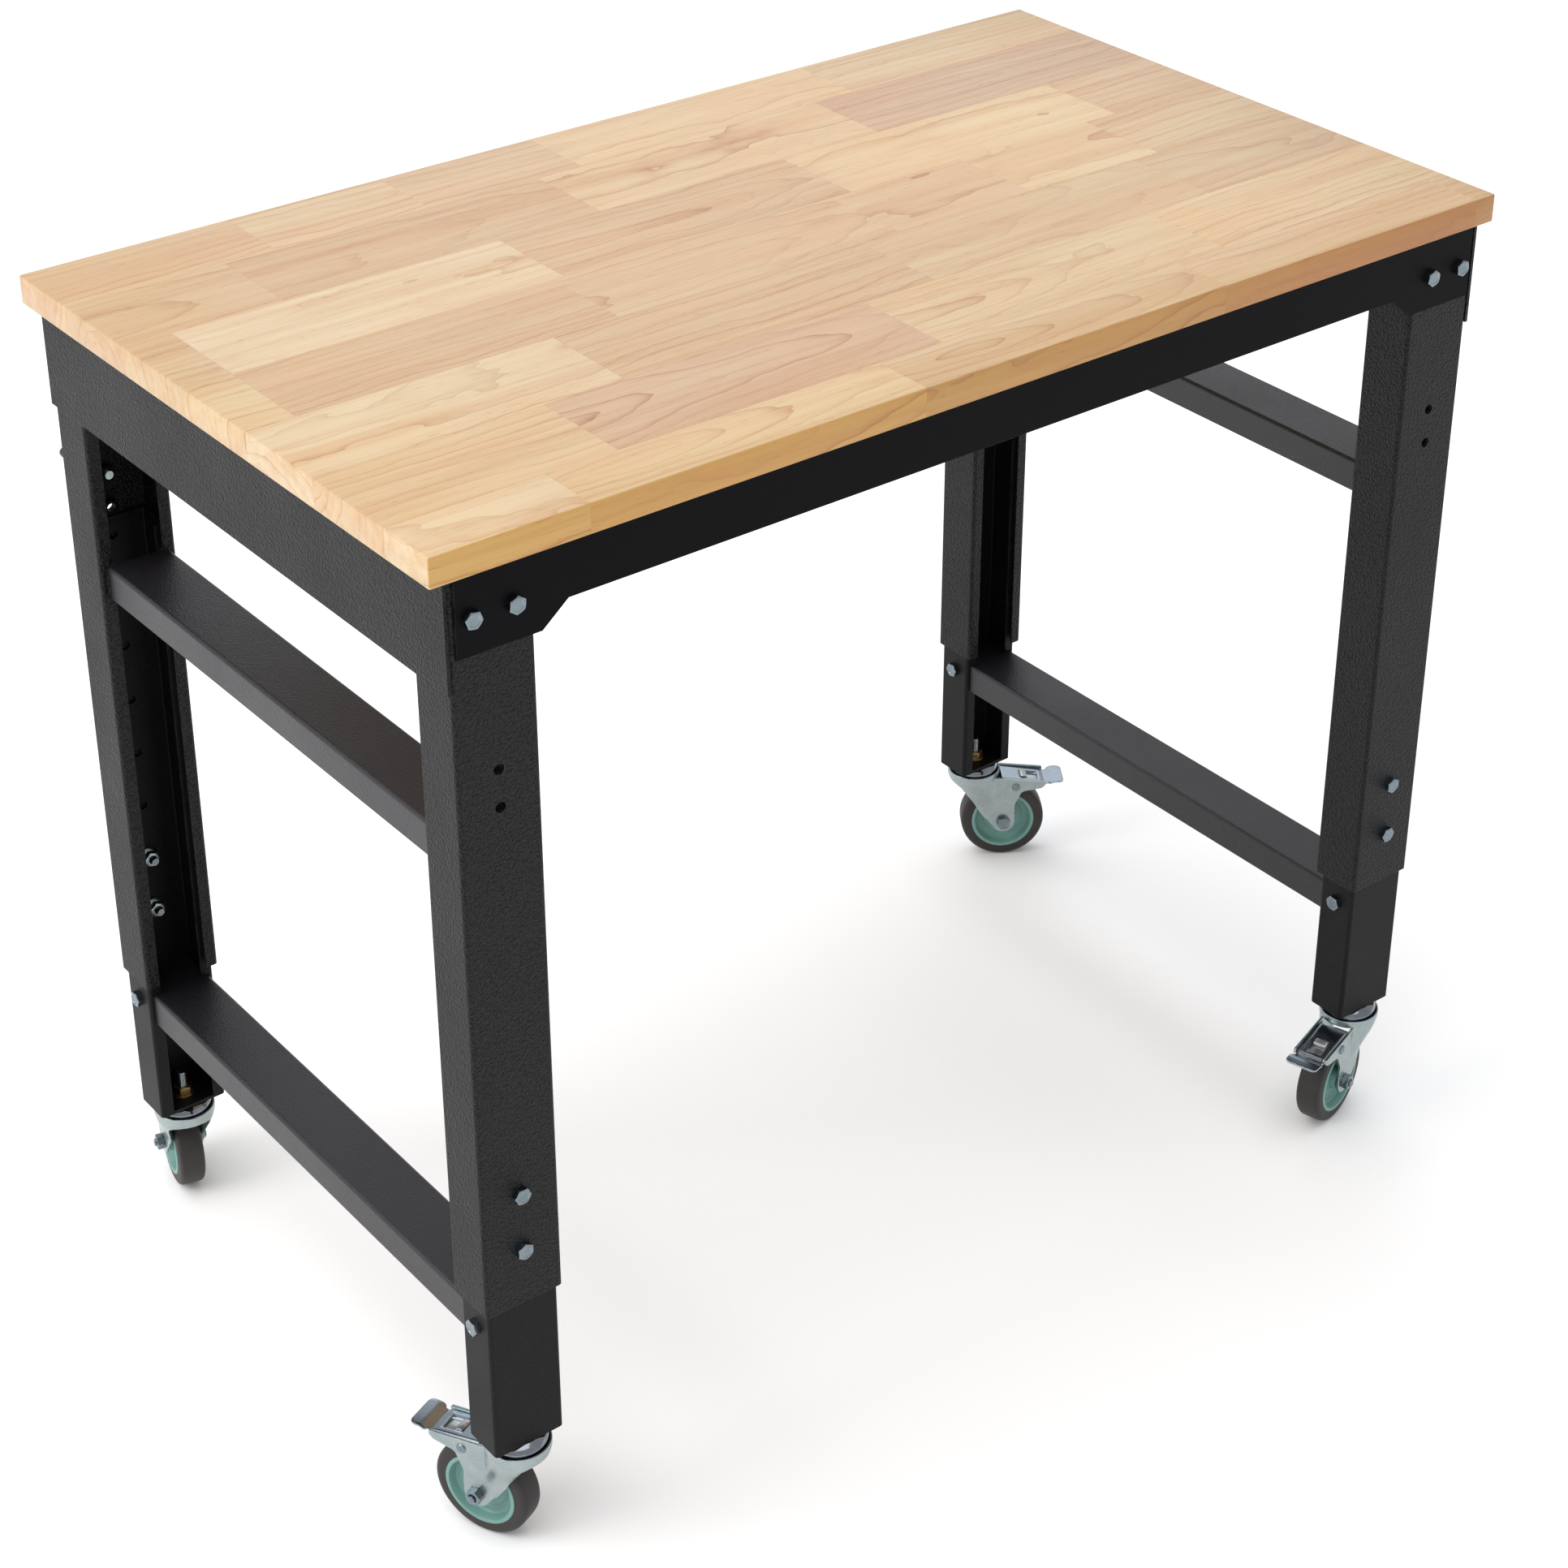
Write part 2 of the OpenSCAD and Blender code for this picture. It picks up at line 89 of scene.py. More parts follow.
def area_light(name, place, target, size, power, colour=(1, 1, 1)):
    data = bpy.data.lights.new(name, "AREA")
    data.shape = "RECTANGLE"
    data.size, data.size_y = size
    data.energy = power
    data.color = colour
    lamp = bpy.data.objects.new(name, data)
    lamp.location = place
    lamp.rotation_euler = (Vector(target) - Vector(place)).to_track_quat("-Z", "Y").to_euler()
    bpy.context.scene.collection.objects.link(lamp)


def make_light():
    bpy.context.scene.view_settings.view_transform = "Standard"
    world = bpy.data.worlds.new("studio")
    bpy.context.scene.world = world
    world.use_nodes = True
    world.node_tree.nodes["Background"].inputs["Color"].default_value = (0.97, 0.98, 1, 1)
    world.node_tree.nodes["Background"].inputs["Strength"].default_value = 0.70
    area_light("key_left", (-3.6, 0.9, 2.2), (0, 0, 0.6), (2.2, 2.2), 60, (1, 0.985, 0.96))
    sun = bpy.data.lights.new("overhead", "SUN")
    sun.energy, sun.angle = 1.85, math.radians(75)
    lamp = bpy.data.objects.new("overhead", sun)
    lamp.rotation_euler = (math.radians(-8), math.radians(-14), 0)
    bpy.context.scene.collection.objects.link(lamp)
    area_light("rim_back", (2.6, 3.4, 2.6), (0, 0, 0.5), (3.0, 2.0), 12, (0.93, 0.94, 1))


# ---------- node materials ----------


def put(tree, kind, inputs=None, **settings):
    """Adds a shader node; an input is set to a value, or linked if it is a socket."""
    made = tree.nodes.new("ShaderNode" + kind)
    for key, value in settings.items():
        setattr(made, key, value)
    for key, value in (inputs or {}).items():
        socket = made.inputs[key]
        if isinstance(value, bpy.types.NodeSocket):
            tree.links.new(value, socket)
        else:
            socket.default_value = value
    return made


def calc(tree, operation, *values):
    return put(tree, "Math", dict(enumerate(values)), operation=operation).outputs[0]


def span(tree, value, low, high, to_low=0.0, to_high=1.0):
    """Maps value from low..high to to_low..to_high, clamped."""
    return put(tree, "MapRange", {
        "Value": value, "From Min": low, "From Max": high, "To Min": to_low, "To Max": to_high,
    }).outputs["Result"]


def blend_colour(tree, factor, a, b, mode="MIX"):
    made = put(tree, "Mix", data_type="RGBA", blend_type=mode)
    for index, value in ((0, factor), (6, a), (7, b)):
        if isinstance(value, bpy.types.NodeSocket):
            tree.links.new(value, made.inputs[index])
        else:
            made.inputs[index].default_value = value if index == 0 else (*value, 1)
    return made.outputs[2]


def stretched(tree, scale, offset=None):
    """Object coordinates in metres, times a scale on each axis, moved by a socket."""
    place = put(tree, "TexCoord").outputs["Object"]
    scaled = put(tree, "VectorMath", {0: place, 1: scale}, operation="MULTIPLY").outputs[0]
    if offset is None:
        return scaled
    return put(tree, "VectorMath", {0: scaled, 1: offset}, operation="ADD").outputs[0]


def noise(tree, vector, detail=2.0, roughness=0.5, scale=1.0, distortion=0.0):
    return put(tree, "TexNoise", {
        "Vector": vector, "Scale": scale, "Detail": detail, "Roughness": roughness,
        "Distortion": distortion,
    }).outputs["Fac"]


def start_material(name, **sockets):
    material = bpy.data.materials.new(name)
    material.use_nodes = True
    tree = material.node_tree
    shader = tree.nodes["Principled BSDF"]
    for key, value in sockets.items():
        shader.inputs[key.replace("_", " ")].default_value = value
    return material, tree, shader


def bump(tree, shader, height, distance, strength=1.0, below=None):
    inputs = {"Height": height, "Distance": distance, "Strength": strength}
    if below is not None:
        inputs["Normal"] = below
    made = put(tree, "Bump", inputs)
    tree.links.new(made.outputs[0], shader.inputs["Normal"])
    return made.outputs[0]


def edge_wear(tree, radius, low, high):
    """0 on flat faces and 1 on outer edges, from a rounded normal against the true one."""
    rounded = put(tree, "Bevel", {"Radius": radius}, samples=6).outputs[0]
    true = put(tree, "NewGeometry").outputs["Normal"]
    same = put(tree, "VectorMath", {0: rounded, 1: true}, operation="DOT_PRODUCT").outputs["Value"]
    return span(tree, same, high, low)


def wood_material():
    """Rubberwood staves: rings round a pith that each stave keeps in its own attributes."""
    material, tree, shader = start_material("oiled_rubberwood", Roughness=0.42, Coat_Weight=0.25,
                                            Coat_Roughness=0.28)
    place = put(tree, "TexCoord").outputs["Object"]
    pith = put(tree, "Attribute", attribute_name="pith").outputs["Vector"]
    lean = put(tree, "Attribute", attribute_name="lean").outputs["Vector"]
    tone = put(tree, "Attribute", attribute_name="tone").outputs["Color"]
    lean_parts = put(tree, "SeparateXYZ", {0: lean})
    seed = lean_parts.outputs["Z"]
    shift = put(tree, "CombineXYZ", {"X": seed, "Y": seed, "Z": seed}).outputs[0]
    parts = put(tree, "SeparateXYZ", {0: put(tree, "VectorMath", {0: place, 1: pith},
                                             operation="SUBTRACT").outputs[0]})
    sway = calc(tree, "SUBTRACT", noise(tree, stretched(tree, (6, 16, 16), shift), 3.0, 0.5), 0.5)
    y = calc(tree, "SUBTRACT", parts.outputs["Y"],
             calc(tree, "MULTIPLY", parts.outputs["X"], lean_parts.outputs["X"]))
    z = calc(tree, "SUBTRACT", parts.outputs["Z"],
             calc(tree, "MULTIPLY", parts.outputs["X"], lean_parts.outputs["Y"]))
    radius = calc(tree, "SQRT", calc(tree, "ADD", calc(tree, "POWER", y, 2.0),
                                     calc(tree, "POWER", z, 2.0)))
    ring = calc(tree, "ADD", calc(tree, "MULTIPLY", radius, 95.0), calc(tree, "MULTIPLY", sway, 3.4))
    phase = calc(tree, "FRACT", ring)
    which = calc(tree, "FLOOR", ring)
    vary = put(tree, "TexWhiteNoise", {"W": calc(tree, "ADD", which, seed)},
               noise_dimensions="1D").outputs["Value"]
    line = calc(tree, "MULTIPLY", calc(tree, "POWER", phase, 9.0), span(tree, vary, 0.1, 0.9, 0.15, 1.0))
    late = calc(tree, "MULTIPLY", calc(tree, "POWER", phase, 2.0), span(tree, vary, 0.15, 1.0, 0.2, 1.0))
    fibre = noise(tree, stretched(tree, (14, 900, 900), shift), 3.0, 0.6)
    streak = noise(tree, stretched(tree, (3.0, 110, 110), shift), 3.5, 0.62)
    band = noise(tree, stretched(tree, (2.2, 34, 34), shift), 2.5, 0.55)
    pores = span(tree, noise(tree, stretched(tree, (75, 1500, 1500), shift), 1.5, 0.5), 0.63, 0.70)
    pores = calc(tree, "MULTIPLY", pores, span(tree, streak, 0.40, 0.62, 0.2, 1.0))
    cloud = noise(tree, stretched(tree, (6, 20, 20), shift), 2.0, 0.5)
    colour = blend_colour(tree, span(tree, cloud, 0.35, 0.7), tone, (1.02, 0.95, 0.90), "MULTIPLY")
    for factor, shade in (
        (span(tree, band, 0.44, 0.66, 0.0, 0.75), (0.92, 0.80, 0.72)),
        (span(tree, streak, 0.45, 0.70, 0.0, 0.6), (0.88, 0.74, 0.60)),
        (span(tree, fibre, 0.35, 0.75, 0.0, 0.4), (0.86, 0.76, 0.66)),
        (calc(tree, "MULTIPLY", late, 0.4), (0.88, 0.74, 0.62)),
        (calc(tree, "MULTIPLY", line, 0.95), (0.70, 0.50, 0.36)),
        (calc(tree, "MULTIPLY", pores, 0.6), (0.60, 0.42, 0.28)),
    ):
        colour = blend_colour(tree, factor, colour, shade, "MULTIPLY")
    # painted shade: the long edges are painted darker and more golden than the faces, darker still towards the
    # right-hand end
    facing = put(tree, "SeparateXYZ", {0: put(tree, "TexCoord").outputs["Normal"]}).outputs["Y"]
    along_x = put(tree, "SeparateXYZ", {0: place}).outputs["X"]
    painted_edge_shade = blend_colour(tree, span(tree, along_x, -0.5, 0.5), (1.00, 0.80, 0.36), (0.82, 0.55, 0.23))
    colour = blend_colour(tree, span(tree, calc(tree, "ABSOLUTE", facing), 0.3, 0.9), colour,
                          blend_colour(tree, 1.0, colour, painted_edge_shade, "MULTIPLY"))
    tree.links.new(colour, shader.inputs["Base Color"])
    rough = span(tree, calc(tree, "ADD", fibre, calc(tree, "MULTIPLY", pores, 0.5)), 0.3, 1.0, 0.34, 0.55)
    tree.links.new(rough, shader.inputs["Roughness"])
    height = calc(tree, "SUBTRACT", calc(tree, "MULTIPLY", fibre, 0.35), pores)
    bump(tree, shader, height, 0.00012, 0.35)
    return material


def powder_coat(name, texture_size, texture_depth, roughness, base, sheen, pit_shade, wear=0.5):
    """Black powder coat: an orange-peel or leather-like skin with painted shade in its pits, faint cloudiness,
    rubbed edges.
    """
    material, tree, shader = start_material(name, Specular_IOR_Level=sheen)
    place = put(tree, "TexCoord").outputs["Object"]
    per_metre = 1 / texture_size
    warp = put(tree, "TexNoise", {"Vector": place, "Scale": per_metre * 0.7, "Detail": 2.0})
    bent = put(tree, "VectorMath", {0: warp.outputs["Color"], 1: place, "Scale": texture_size * 0.9},
               operation="SCALE").outputs[0]
    bent = put(tree, "VectorMath", {0: place, 1: bent}, operation="ADD").outputs[0]
    cells = put(tree, "TexVoronoi", {"Vector": bent, "Scale": per_metre, "Randomness": 1.0},
                feature="SMOOTH_F1").outputs["Distance"]
    fine = noise(tree, place, 3.0, 0.6, per_metre * 2.2)
    height = calc(tree, "ADD", span(tree, cells, 0.1, 0.75), calc(tree, "MULTIPLY", fine, 0.6))
    cloud = noise(tree, place, 3.0, 0.55, 9.0)
    worn = calc(tree, "MULTIPLY", edge_wear(tree, 0.0012, 0.80, 0.985),
                span(tree, noise(tree, place, 4.0, 0.65, 60.0), 0.42, 0.62, 0.1, 1.0))
    colour = blend_colour(tree, span(tree, cloud, 0.3, 0.7), base, tuple(c * 1.25 for c in base))
    # painted shade: the colour is darkened in the pits of the skin, standing in for the shade the bump casts there
    shaded_pits = calc(tree, "ADD", cells, calc(tree, "MULTIPLY", fine, 0.3))
    colour = blend_colour(tree, span(tree, shaded_pits, 0.35, 0.75), colour,
                          blend_colour(tree, 1.0, colour, (pit_shade,) * 3, "MULTIPLY"))
    colour = blend_colour(tree, calc(tree, "MULTIPLY", worn, wear), colour, (0.10, 0.10, 0.105))
    tree.links.new(colour, shader.inputs["Base Color"])
    rough = calc(tree, "ADD", span(tree, cells, 0.1, 0.8, roughness + 0.05, roughness - 0.05),
                 span(tree, cloud, 0.3, 0.7, -0.04, 0.05))
    tree.links.new(rough, shader.inputs["Roughness"])
    bump(tree, shader, height, texture_depth, 0.8)
    return material


def plated(name, base, tint, roughness, mottle, brushed=0.0):
    """Zinc or chrome plate: mottled tint and gloss, fine handling marks, rubbed edges."""
    material, tree, shader = start_material(name, Metallic=1.0)
    place = put(tree, "TexCoord").outputs["Object"]
    patch = noise(tree, place, 4.0, 0.6, 55.0, 0.6)
    grit = noise(tree, place, 2.0, 0.5, 900.0)
    marks = noise(tree, stretched(tree, (260, 260, 1400)), 2.0, 0.5)
    colour = blend_colour(tree, span(tree, patch, 0.5 - mottle, 0.5 + mottle), base, tint)
    colour = blend_colour(tree, span(tree, grit, 0.35, 0.75, 0.0, 0.3), colour,
                          tuple(c * 0.72 for c in base))
    rubbed = edge_wear(tree, 0.0007, 0.80, 0.985)
    colour = blend_colour(tree, calc(tree, "MULTIPLY", rubbed, 0.7), colour, (0.80, 0.83, 0.84))
    tree.links.new(colour, shader.inputs["Base Color"])
    rough = calc(tree, "ADD", span(tree, patch, 0.3, 0.7, roughness * 0.8, roughness * 1.25),
                 span(tree, grit, 0.4, 0.8, 0.0, 0.08))
    tree.links.new(rough, shader.inputs["Roughness"])
    bump(tree, shader, calc(tree, "ADD", grit, calc(tree, "MULTIPLY", marks, brushed)), 0.00005, 0.4)
    return material


def moulded(name, base, shade, roughness, grain_size, grain_depth, specular=0.45):
    """Moulded plastic or rubber: colour drift, fine surface grain, scuffed edges."""
    material, tree, shader = start_material(name, Specular_IOR_Level=specular)
    place = put(tree, "TexCoord").outputs["Object"]
    drift = noise(tree, place, 3.0, 0.6, 28.0)
    grain = noise(tree, place, 3.0, 0.65, 1 / grain_size)
    scuff = calc(tree, "MULTIPLY", edge_wear(tree, 0.0014, 0.82, 0.985),
                 span(tree, noise(tree, place, 4.0, 0.6, 140.0), 0.4, 0.65))
    colour = blend_colour(tree, span(tree, drift, 0.3, 0.7), base, shade)
    colour = blend_colour(tree, span(tree, grain, 0.4, 0.8, 0.0, 0.4), colour,
                          tuple(c * 0.7 for c in base))
    colour = blend_colour(tree, calc(tree, "MULTIPLY", scuff, 0.4), colour,
                          tuple(min(1.0, c * 1.8 + 0.02) for c in base))
    tree.links.new(colour, shader.inputs["Base Color"])
    tree.links.new(span(tree, grain, 0.3, 0.8, roughness - 0.07, roughness + 0.1),
                   shader.inputs["Roughness"])
    bump(tree, shader, grain, grain_depth, 0.5)
    return material


def floor_material():
    material, tree, shader = start_material("pale_floor", Roughness=0.75, Specular_IOR_Level=0.1)
    place = put(tree, "TexCoord").outputs["Object"]
    tree.links.new(blend_colour(tree, noise(tree, place, 2.0, 0.5, 1.3), (0.96, 0.96, 0.96),
                                (0.97, 0.97, 0.97)), shader.inputs["Base Color"])
    return material


# ---------- mesh helpers ----------


def finish_piece(name, bm, material, body, nodes=(), angle=32):
    """Makes a piece from a bmesh in bench coordinates: shaded, coloured and riding on its body, with the CAD nodes
    it replaces hidden.
    """
    bmesh.ops.recalc_face_normals(bm, faces=bm.faces)
    mesh = bpy.data.meshes.new(name)
    bm.to_mesh(mesh)
    bm.free()
    mesh.polygons.foreach_set("use_smooth", [True] * len(mesh.polygons))
    mesh.set_sharp_from_angle(angle=math.radians(angle))
    mesh.materials.append(material)
    piece = bpy.data.objects.new(name, mesh)
    bpy.context.scene.collection.objects.link(piece)
    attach(piece, body)
    if nodes:
        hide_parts(*nodes)
    return piece


def along(point, direction, turn=0.0):
    """Matrix that takes local +z to a direction at a point, turned round itself."""
    axis = Vector(direction).normalized()
    return (Matrix.Translation(point) @ axis.to_track_quat("Z", "Y").to_matrix().to_4x4()
            @ Matrix.Rotation(turn, 4, "Z"))


def rings_mesh(bm, matrix, rings, count, closed=False):
    """Joins rings of (radius, height) round local z; either may be a function of the angle.
    A closed one is a tube wall, such as a tyre's; an open one is capped at both ends."""
    loops = []
    for radius, height in rings:
        loop = []
        for k in range(count):
            a = 2 * math.pi * k / count
            r = radius(a) if callable(radius) else radius
            h = height(a) if callable(height) else height
            loop.append(bm.verts.new(matrix @ Vector((r * math.cos(a), r * math.sin(a), h))))
        loops.append(loop)
    pairs = list(zip(loops, loops[1:] + loops[:1])) if closed else list(zip(loops, loops[1:]))
    for low, high in pairs:
        for k in range(count):
            n = (k + 1) % count
            bm.faces.new((low[k], low[n], high[n], high[k]))
    if not closed:
        bm.faces.new(reversed(loops[0]))
        bm.faces.new(loops[-1])


def rounded(points, radius, steps=4, closed=True):
    """A polyline with its corners rounded. radius is one number or one for each point."""
    radii = radius if hasattr(radius, "__len__") else [radius] * len(points)
    out = []
    for i, point in enumerate(points):
        p = Vector(point)
        if not closed and i in (0, len(points) - 1) or radii[i] <= 0:
            out.append(tuple(p))
            continue
        a, b = Vector(points[i - 1]) - p, Vector(points[(i + 1) % len(points)]) - p
        half = a.angle(b, math.pi) / 2
        if half > math.pi / 2 - 0.02:
            out.append(tuple(p))
            continue
        cut = min(radii[i] / math.tan(half), 0.48 * a.length, 0.48 * b.length)
        start, end = p + a.normalized() * cut, p + b.normalized() * cut
        for k in range(steps + 1):
            t = k / steps
            out.append(tuple(start * (1 - t) ** 2 + p * (2 * t * (1 - t)) + end * t ** 2))
    return out


def lathe(bm, matrix, profile, radius, count=96, steps=4):
    """Turns a closed (radius, height) outline in millimetres, its corners rounded, round local z."""
    points = rounded(profile, radius, steps)
    rings_mesh(bm, matrix, [(r * MM, h * MM) for r, h in points], count, closed=True)


def hex_radius(flat):
    corner = flat / 2 / math.cos(math.pi / 6)
    return lambda a: min(flat / 2 / math.cos(a % (math.pi / 3) - math.pi / 6), corner * 0.995)


def chamfer_top(flat, height, inner, slope=0.5):
    side = hex_radius(flat)
    return lambda a: height - max(0.0, side(a) - inner) * slope


def thread_rings(start, end, crest, pitch, count=24, root=0.86):
    """Rings with a screw thread between two heights."""
    step = pitch / 6
    rings = []
    for k in range(int((end - start) / step) + 1):
        h = start + k * step
        mid, swing = crest * (1 + root) / 2, crest * (1 - root) / 2
        rings.append((lambda a, h=h, mid=mid, swing=swing:
                      mid + swing * math.cos(2 * math.pi * h / pitch - a), h))
    return rings


def hex_bolt(bm, matrix, flat, head, shank, length, threaded):
    """Local z = 0 is the bearing face, +z out of the head."""
    side, inner = hex_radius(flat), flat * 0.46
    rings_mesh(bm, matrix, [
        (flat * 0.47, 0), (flat * 0.47, 0.0004), (side, 0.0004), (side, chamfer_top(flat, head, inner)),
        (inner, head), (inner * 0.80, head), (inner * 0.72, head - 0.0004), (inner * 0.2, head - 0.0005),
    ], 72)
    rings = [(shank, 0.0002), (shank, -(length - threaded))]
    for radius, h in thread_rings(0, threaded - 0.001, shank, 0.00125):
        rings.append((radius, h - threaded))
    rings.sort(key=lambda ring: -ring[1])
    rings_mesh(bm, matrix, rings + [(shank * 0.8, -length)], 24)


def hex_nut(bm, matrix, flat, height, hole, flange=0.0):
    """Local z = 0 is the bearing face. Chamfered at its outer end, or both where it has no flange."""
    side, inner = hex_radius(flat), flat * 0.465
    base = 0.0
    if flange:
        teeth = lambda a: flange - 0.00022 * (0.5 + 0.5 * math.cos(24 * a))
        rings = [(hole, 0), (flange * 0.72, 0), (teeth, 0.0001), (flange, 0.0007), (flange * 0.95, 0.0012),
                 (flat * 0.60, 0.0019)]
        base = 0.0019
    else:
        rings = [(hole, 0), (inner, 0), (side, lambda a: (side(a) - inner) * 0.5)]
    rings += [(side, base + 0.0004)] if flange else []
    rings += [(side, chamfer_top(flat, height, inner)), (inner, height), (hole * 1.14, height),
              (hole, height - 0.0006)]
    rings_mesh(bm, matrix, rings, 72, closed=True)


def stamped(outline, holes, place, spacing):
    """Fills an outline in the plane with small triangles and puts each point through place()."""
    verts, edges = [], []
    for loop in [outline] + holes:
        dense = []
        for a, b in zip(loop, loop[1:] + loop[:1]):
            a, b = Vector(a), Vector(b)
            parts = max(1, round((b - a).length / spacing))
            dense += [a + (b - a) * k / parts for k in range(parts)]
        first = len(verts)
        verts += dense
        edges += [(first + k, first + (k + 1) % len(dense)) for k in range(len(dense))]
    border = list(verts)
    xs, ys = [v.x for v in border], [v.y for v in border]
    row, y = 0, min(ys) + spacing * 0.5
    while y < max(ys):
        x = min(xs) + spacing * (0.5 if row % 2 else 1.0)
        while x < max(xs):
            p = Vector((x, y))
            if min((p - q).length for q in border) > spacing * 0.62:
                verts.append(p)
            x += spacing
        row, y = row + 1, y + spacing * 0.87
    points, _, faces, _, _, _ = delaunay_2d_cdt(verts, edges, [], 1, 1e-5)

    def inside(p, loop):
        odd = False
        for a, b in zip(loop, loop[1:] + loop[:1]):
            if (a[1] > p[1]) != (b[1] > p[1]) and p[0] < (b[0] - a[0]) * (p[1] - a[1]) / (b[1] - a[1]) + a[0]:
                odd = not odd
        return odd

    kept = []
    for face in faces:
        middle = sum((points[i] for i in face), Vector((0, 0))) / len(face)
        if inside(middle, outline) and not any(inside(middle, h) for h in holes):
            kept.append(face)
    bm = bmesh.new()
    made = [bm.verts.new(Vector(place(p.x, p.y)) * MM) for p in points]
    for face in kept:
        bm.faces.new([made[i] for i in face])
    bmesh.ops.delete(bm, geom=[v for v in bm.verts if not v.link_faces], context="VERTS")
    return bm


def thicken(bm, thickness, edge=0.4):
    """Gives a sheet its thickness, against its normals, with softened edges. Millimetres."""
    mesh = bpy.data.meshes.new("sheet")
    bm.to_mesh(mesh)
    bm.free()
    holder = bpy.data.objects.new("sheet", mesh)
    bpy.context.scene.collection.objects.link(holder)
    solid = holder.modifiers.new("solid", "SOLIDIFY")
    solid.thickness, solid.offset, solid.use_even_offset = thickness * MM, -1, True
    soft = holder.modifiers.new("soft", "BEVEL")
    soft.width, soft.segments, soft.limit_method, soft.angle_limit = edge * MM, 2, "ANGLE", math.radians(50)
    out = bmesh.new()
    bpy.context.view_layer.update()
    out.from_object(holder, bpy.context.evaluated_depsgraph_get())
    bpy.data.objects.remove(holder)
    bpy.data.meshes.remove(mesh)
    return out


def slab(bm, outline, low, high, edge, place, segments=2):
    """Prism over an outline (millimetres) between two depths, its edges rounded."""
    part = bmesh.new()
    bottom = [part.verts.new((x, y, low)) for x, y in outline]
    top = [part.verts.new((x, y, high)) for x, y in outline]
    part.faces.new(reversed(bottom))
    part.faces.new(top)
    for k in range(len(outline)):
        n = (k + 1) % len(outline)
        part.faces.new((bottom[k], bottom[n], top[n], top[k]))
    bmesh.ops.recalc_face_normals(part, faces=part.faces)
    rims = [e for e in part.edges if abs(e.verts[0].co.z - e.verts[1].co.z) < 1e-9]
    bmesh.ops.bevel(part, geom=rims, offset=edge, segments=segments, affect="EDGES", profile=0.5)
    for v in part.verts:
        v.co = Vector(place(v.co.x, v.co.y, v.co.z)) * MM
    absorb(bm, part)


def absorb(bm, part, matrix=None):
    """Adds a bmesh to another, moved by a matrix, and frees it."""
    if matrix is not None:
        bmesh.ops.transform(part, matrix=matrix, verts=part.verts)
    mesh = bpy.data.meshes.new("part")
    part.to_mesh(mesh)
    part.free()
    bm.from_mesh(mesh)
    bpy.data.meshes.remove(mesh)


def refine(node, material, edge=0.00035, segments=2, angle=25):
    """A piece with the CAD node's shape, flat faces whole again and every sharp edge rounded."""
    bm = bmesh.new()
    bm.from_mesh(frame["nodes"][node].data)
    bmesh.ops.remove_doubles(bm, verts=bm.verts, dist=2e-6)
    bmesh.ops.dissolve_limit(bm, angle_limit=math.radians(0.4), verts=bm.verts, edges=bm.edges)
    sharp = [e for e in bm.edges if len(e.link_faces) == 2 and e.calc_face_angle(0) > math.radians(angle)]
    bmesh.ops.bevel(bm, geom=sharp, offset=edge, segments=segments, affect="EDGES", profile=0.5,
                    clamp_overlap=True)
    shell = finish_piece(node + "_shell", bm, material, NODE_BODY[node], [node], angle=60)
    flat = shell.modifiers.new("flat", "WEIGHTED_NORMAL")
    flat.keep_sharp, flat.weight = True, 100
    return shell


# ---------- worktop ----------

# Stave rows from the back edge to the front: width, then the joints from the left end, in mm
ROWS = (
    (82, (189, 337, 492, 794)),
    (94, (142, 446, 747)),
    (95, (42, 344, 639, 944)),
    (93, (42, 333, 615, 760, 908)),
    (95, (270, 574, 878)),
    (95, (197, 501, 804)),
    (56, (134, 439, 750, 1044)),
)
TONES = {
    "pale": (0.625, 0.500, 0.315), "straw": (0.590, 0.445, 0.250), "honey": (0.560, 0.415, 0.235),
    "tan": (0.540, 0.385, 0.220), "rose": (0.525, 0.365, 0.225),
}
# Tone of each stave, then how its rings lie: c for a cathedral, s for straight, w for wide and quiet
STAVES = (
    "tan-c honey-c tan-s straw-w honey-s",
    "tan-c tan-c honey-w rose-c",
    "honey-s pale-w tan-c straw-w tan-s",
    "straw-s tan-s tan-c tan-w straw-w honey-s",
    "pale-w tan-s honey-w tan-c",
    "honey-s rose-c straw-c straw-s",
    "pale-w straw-c honey-c tan-s honey-s",
)


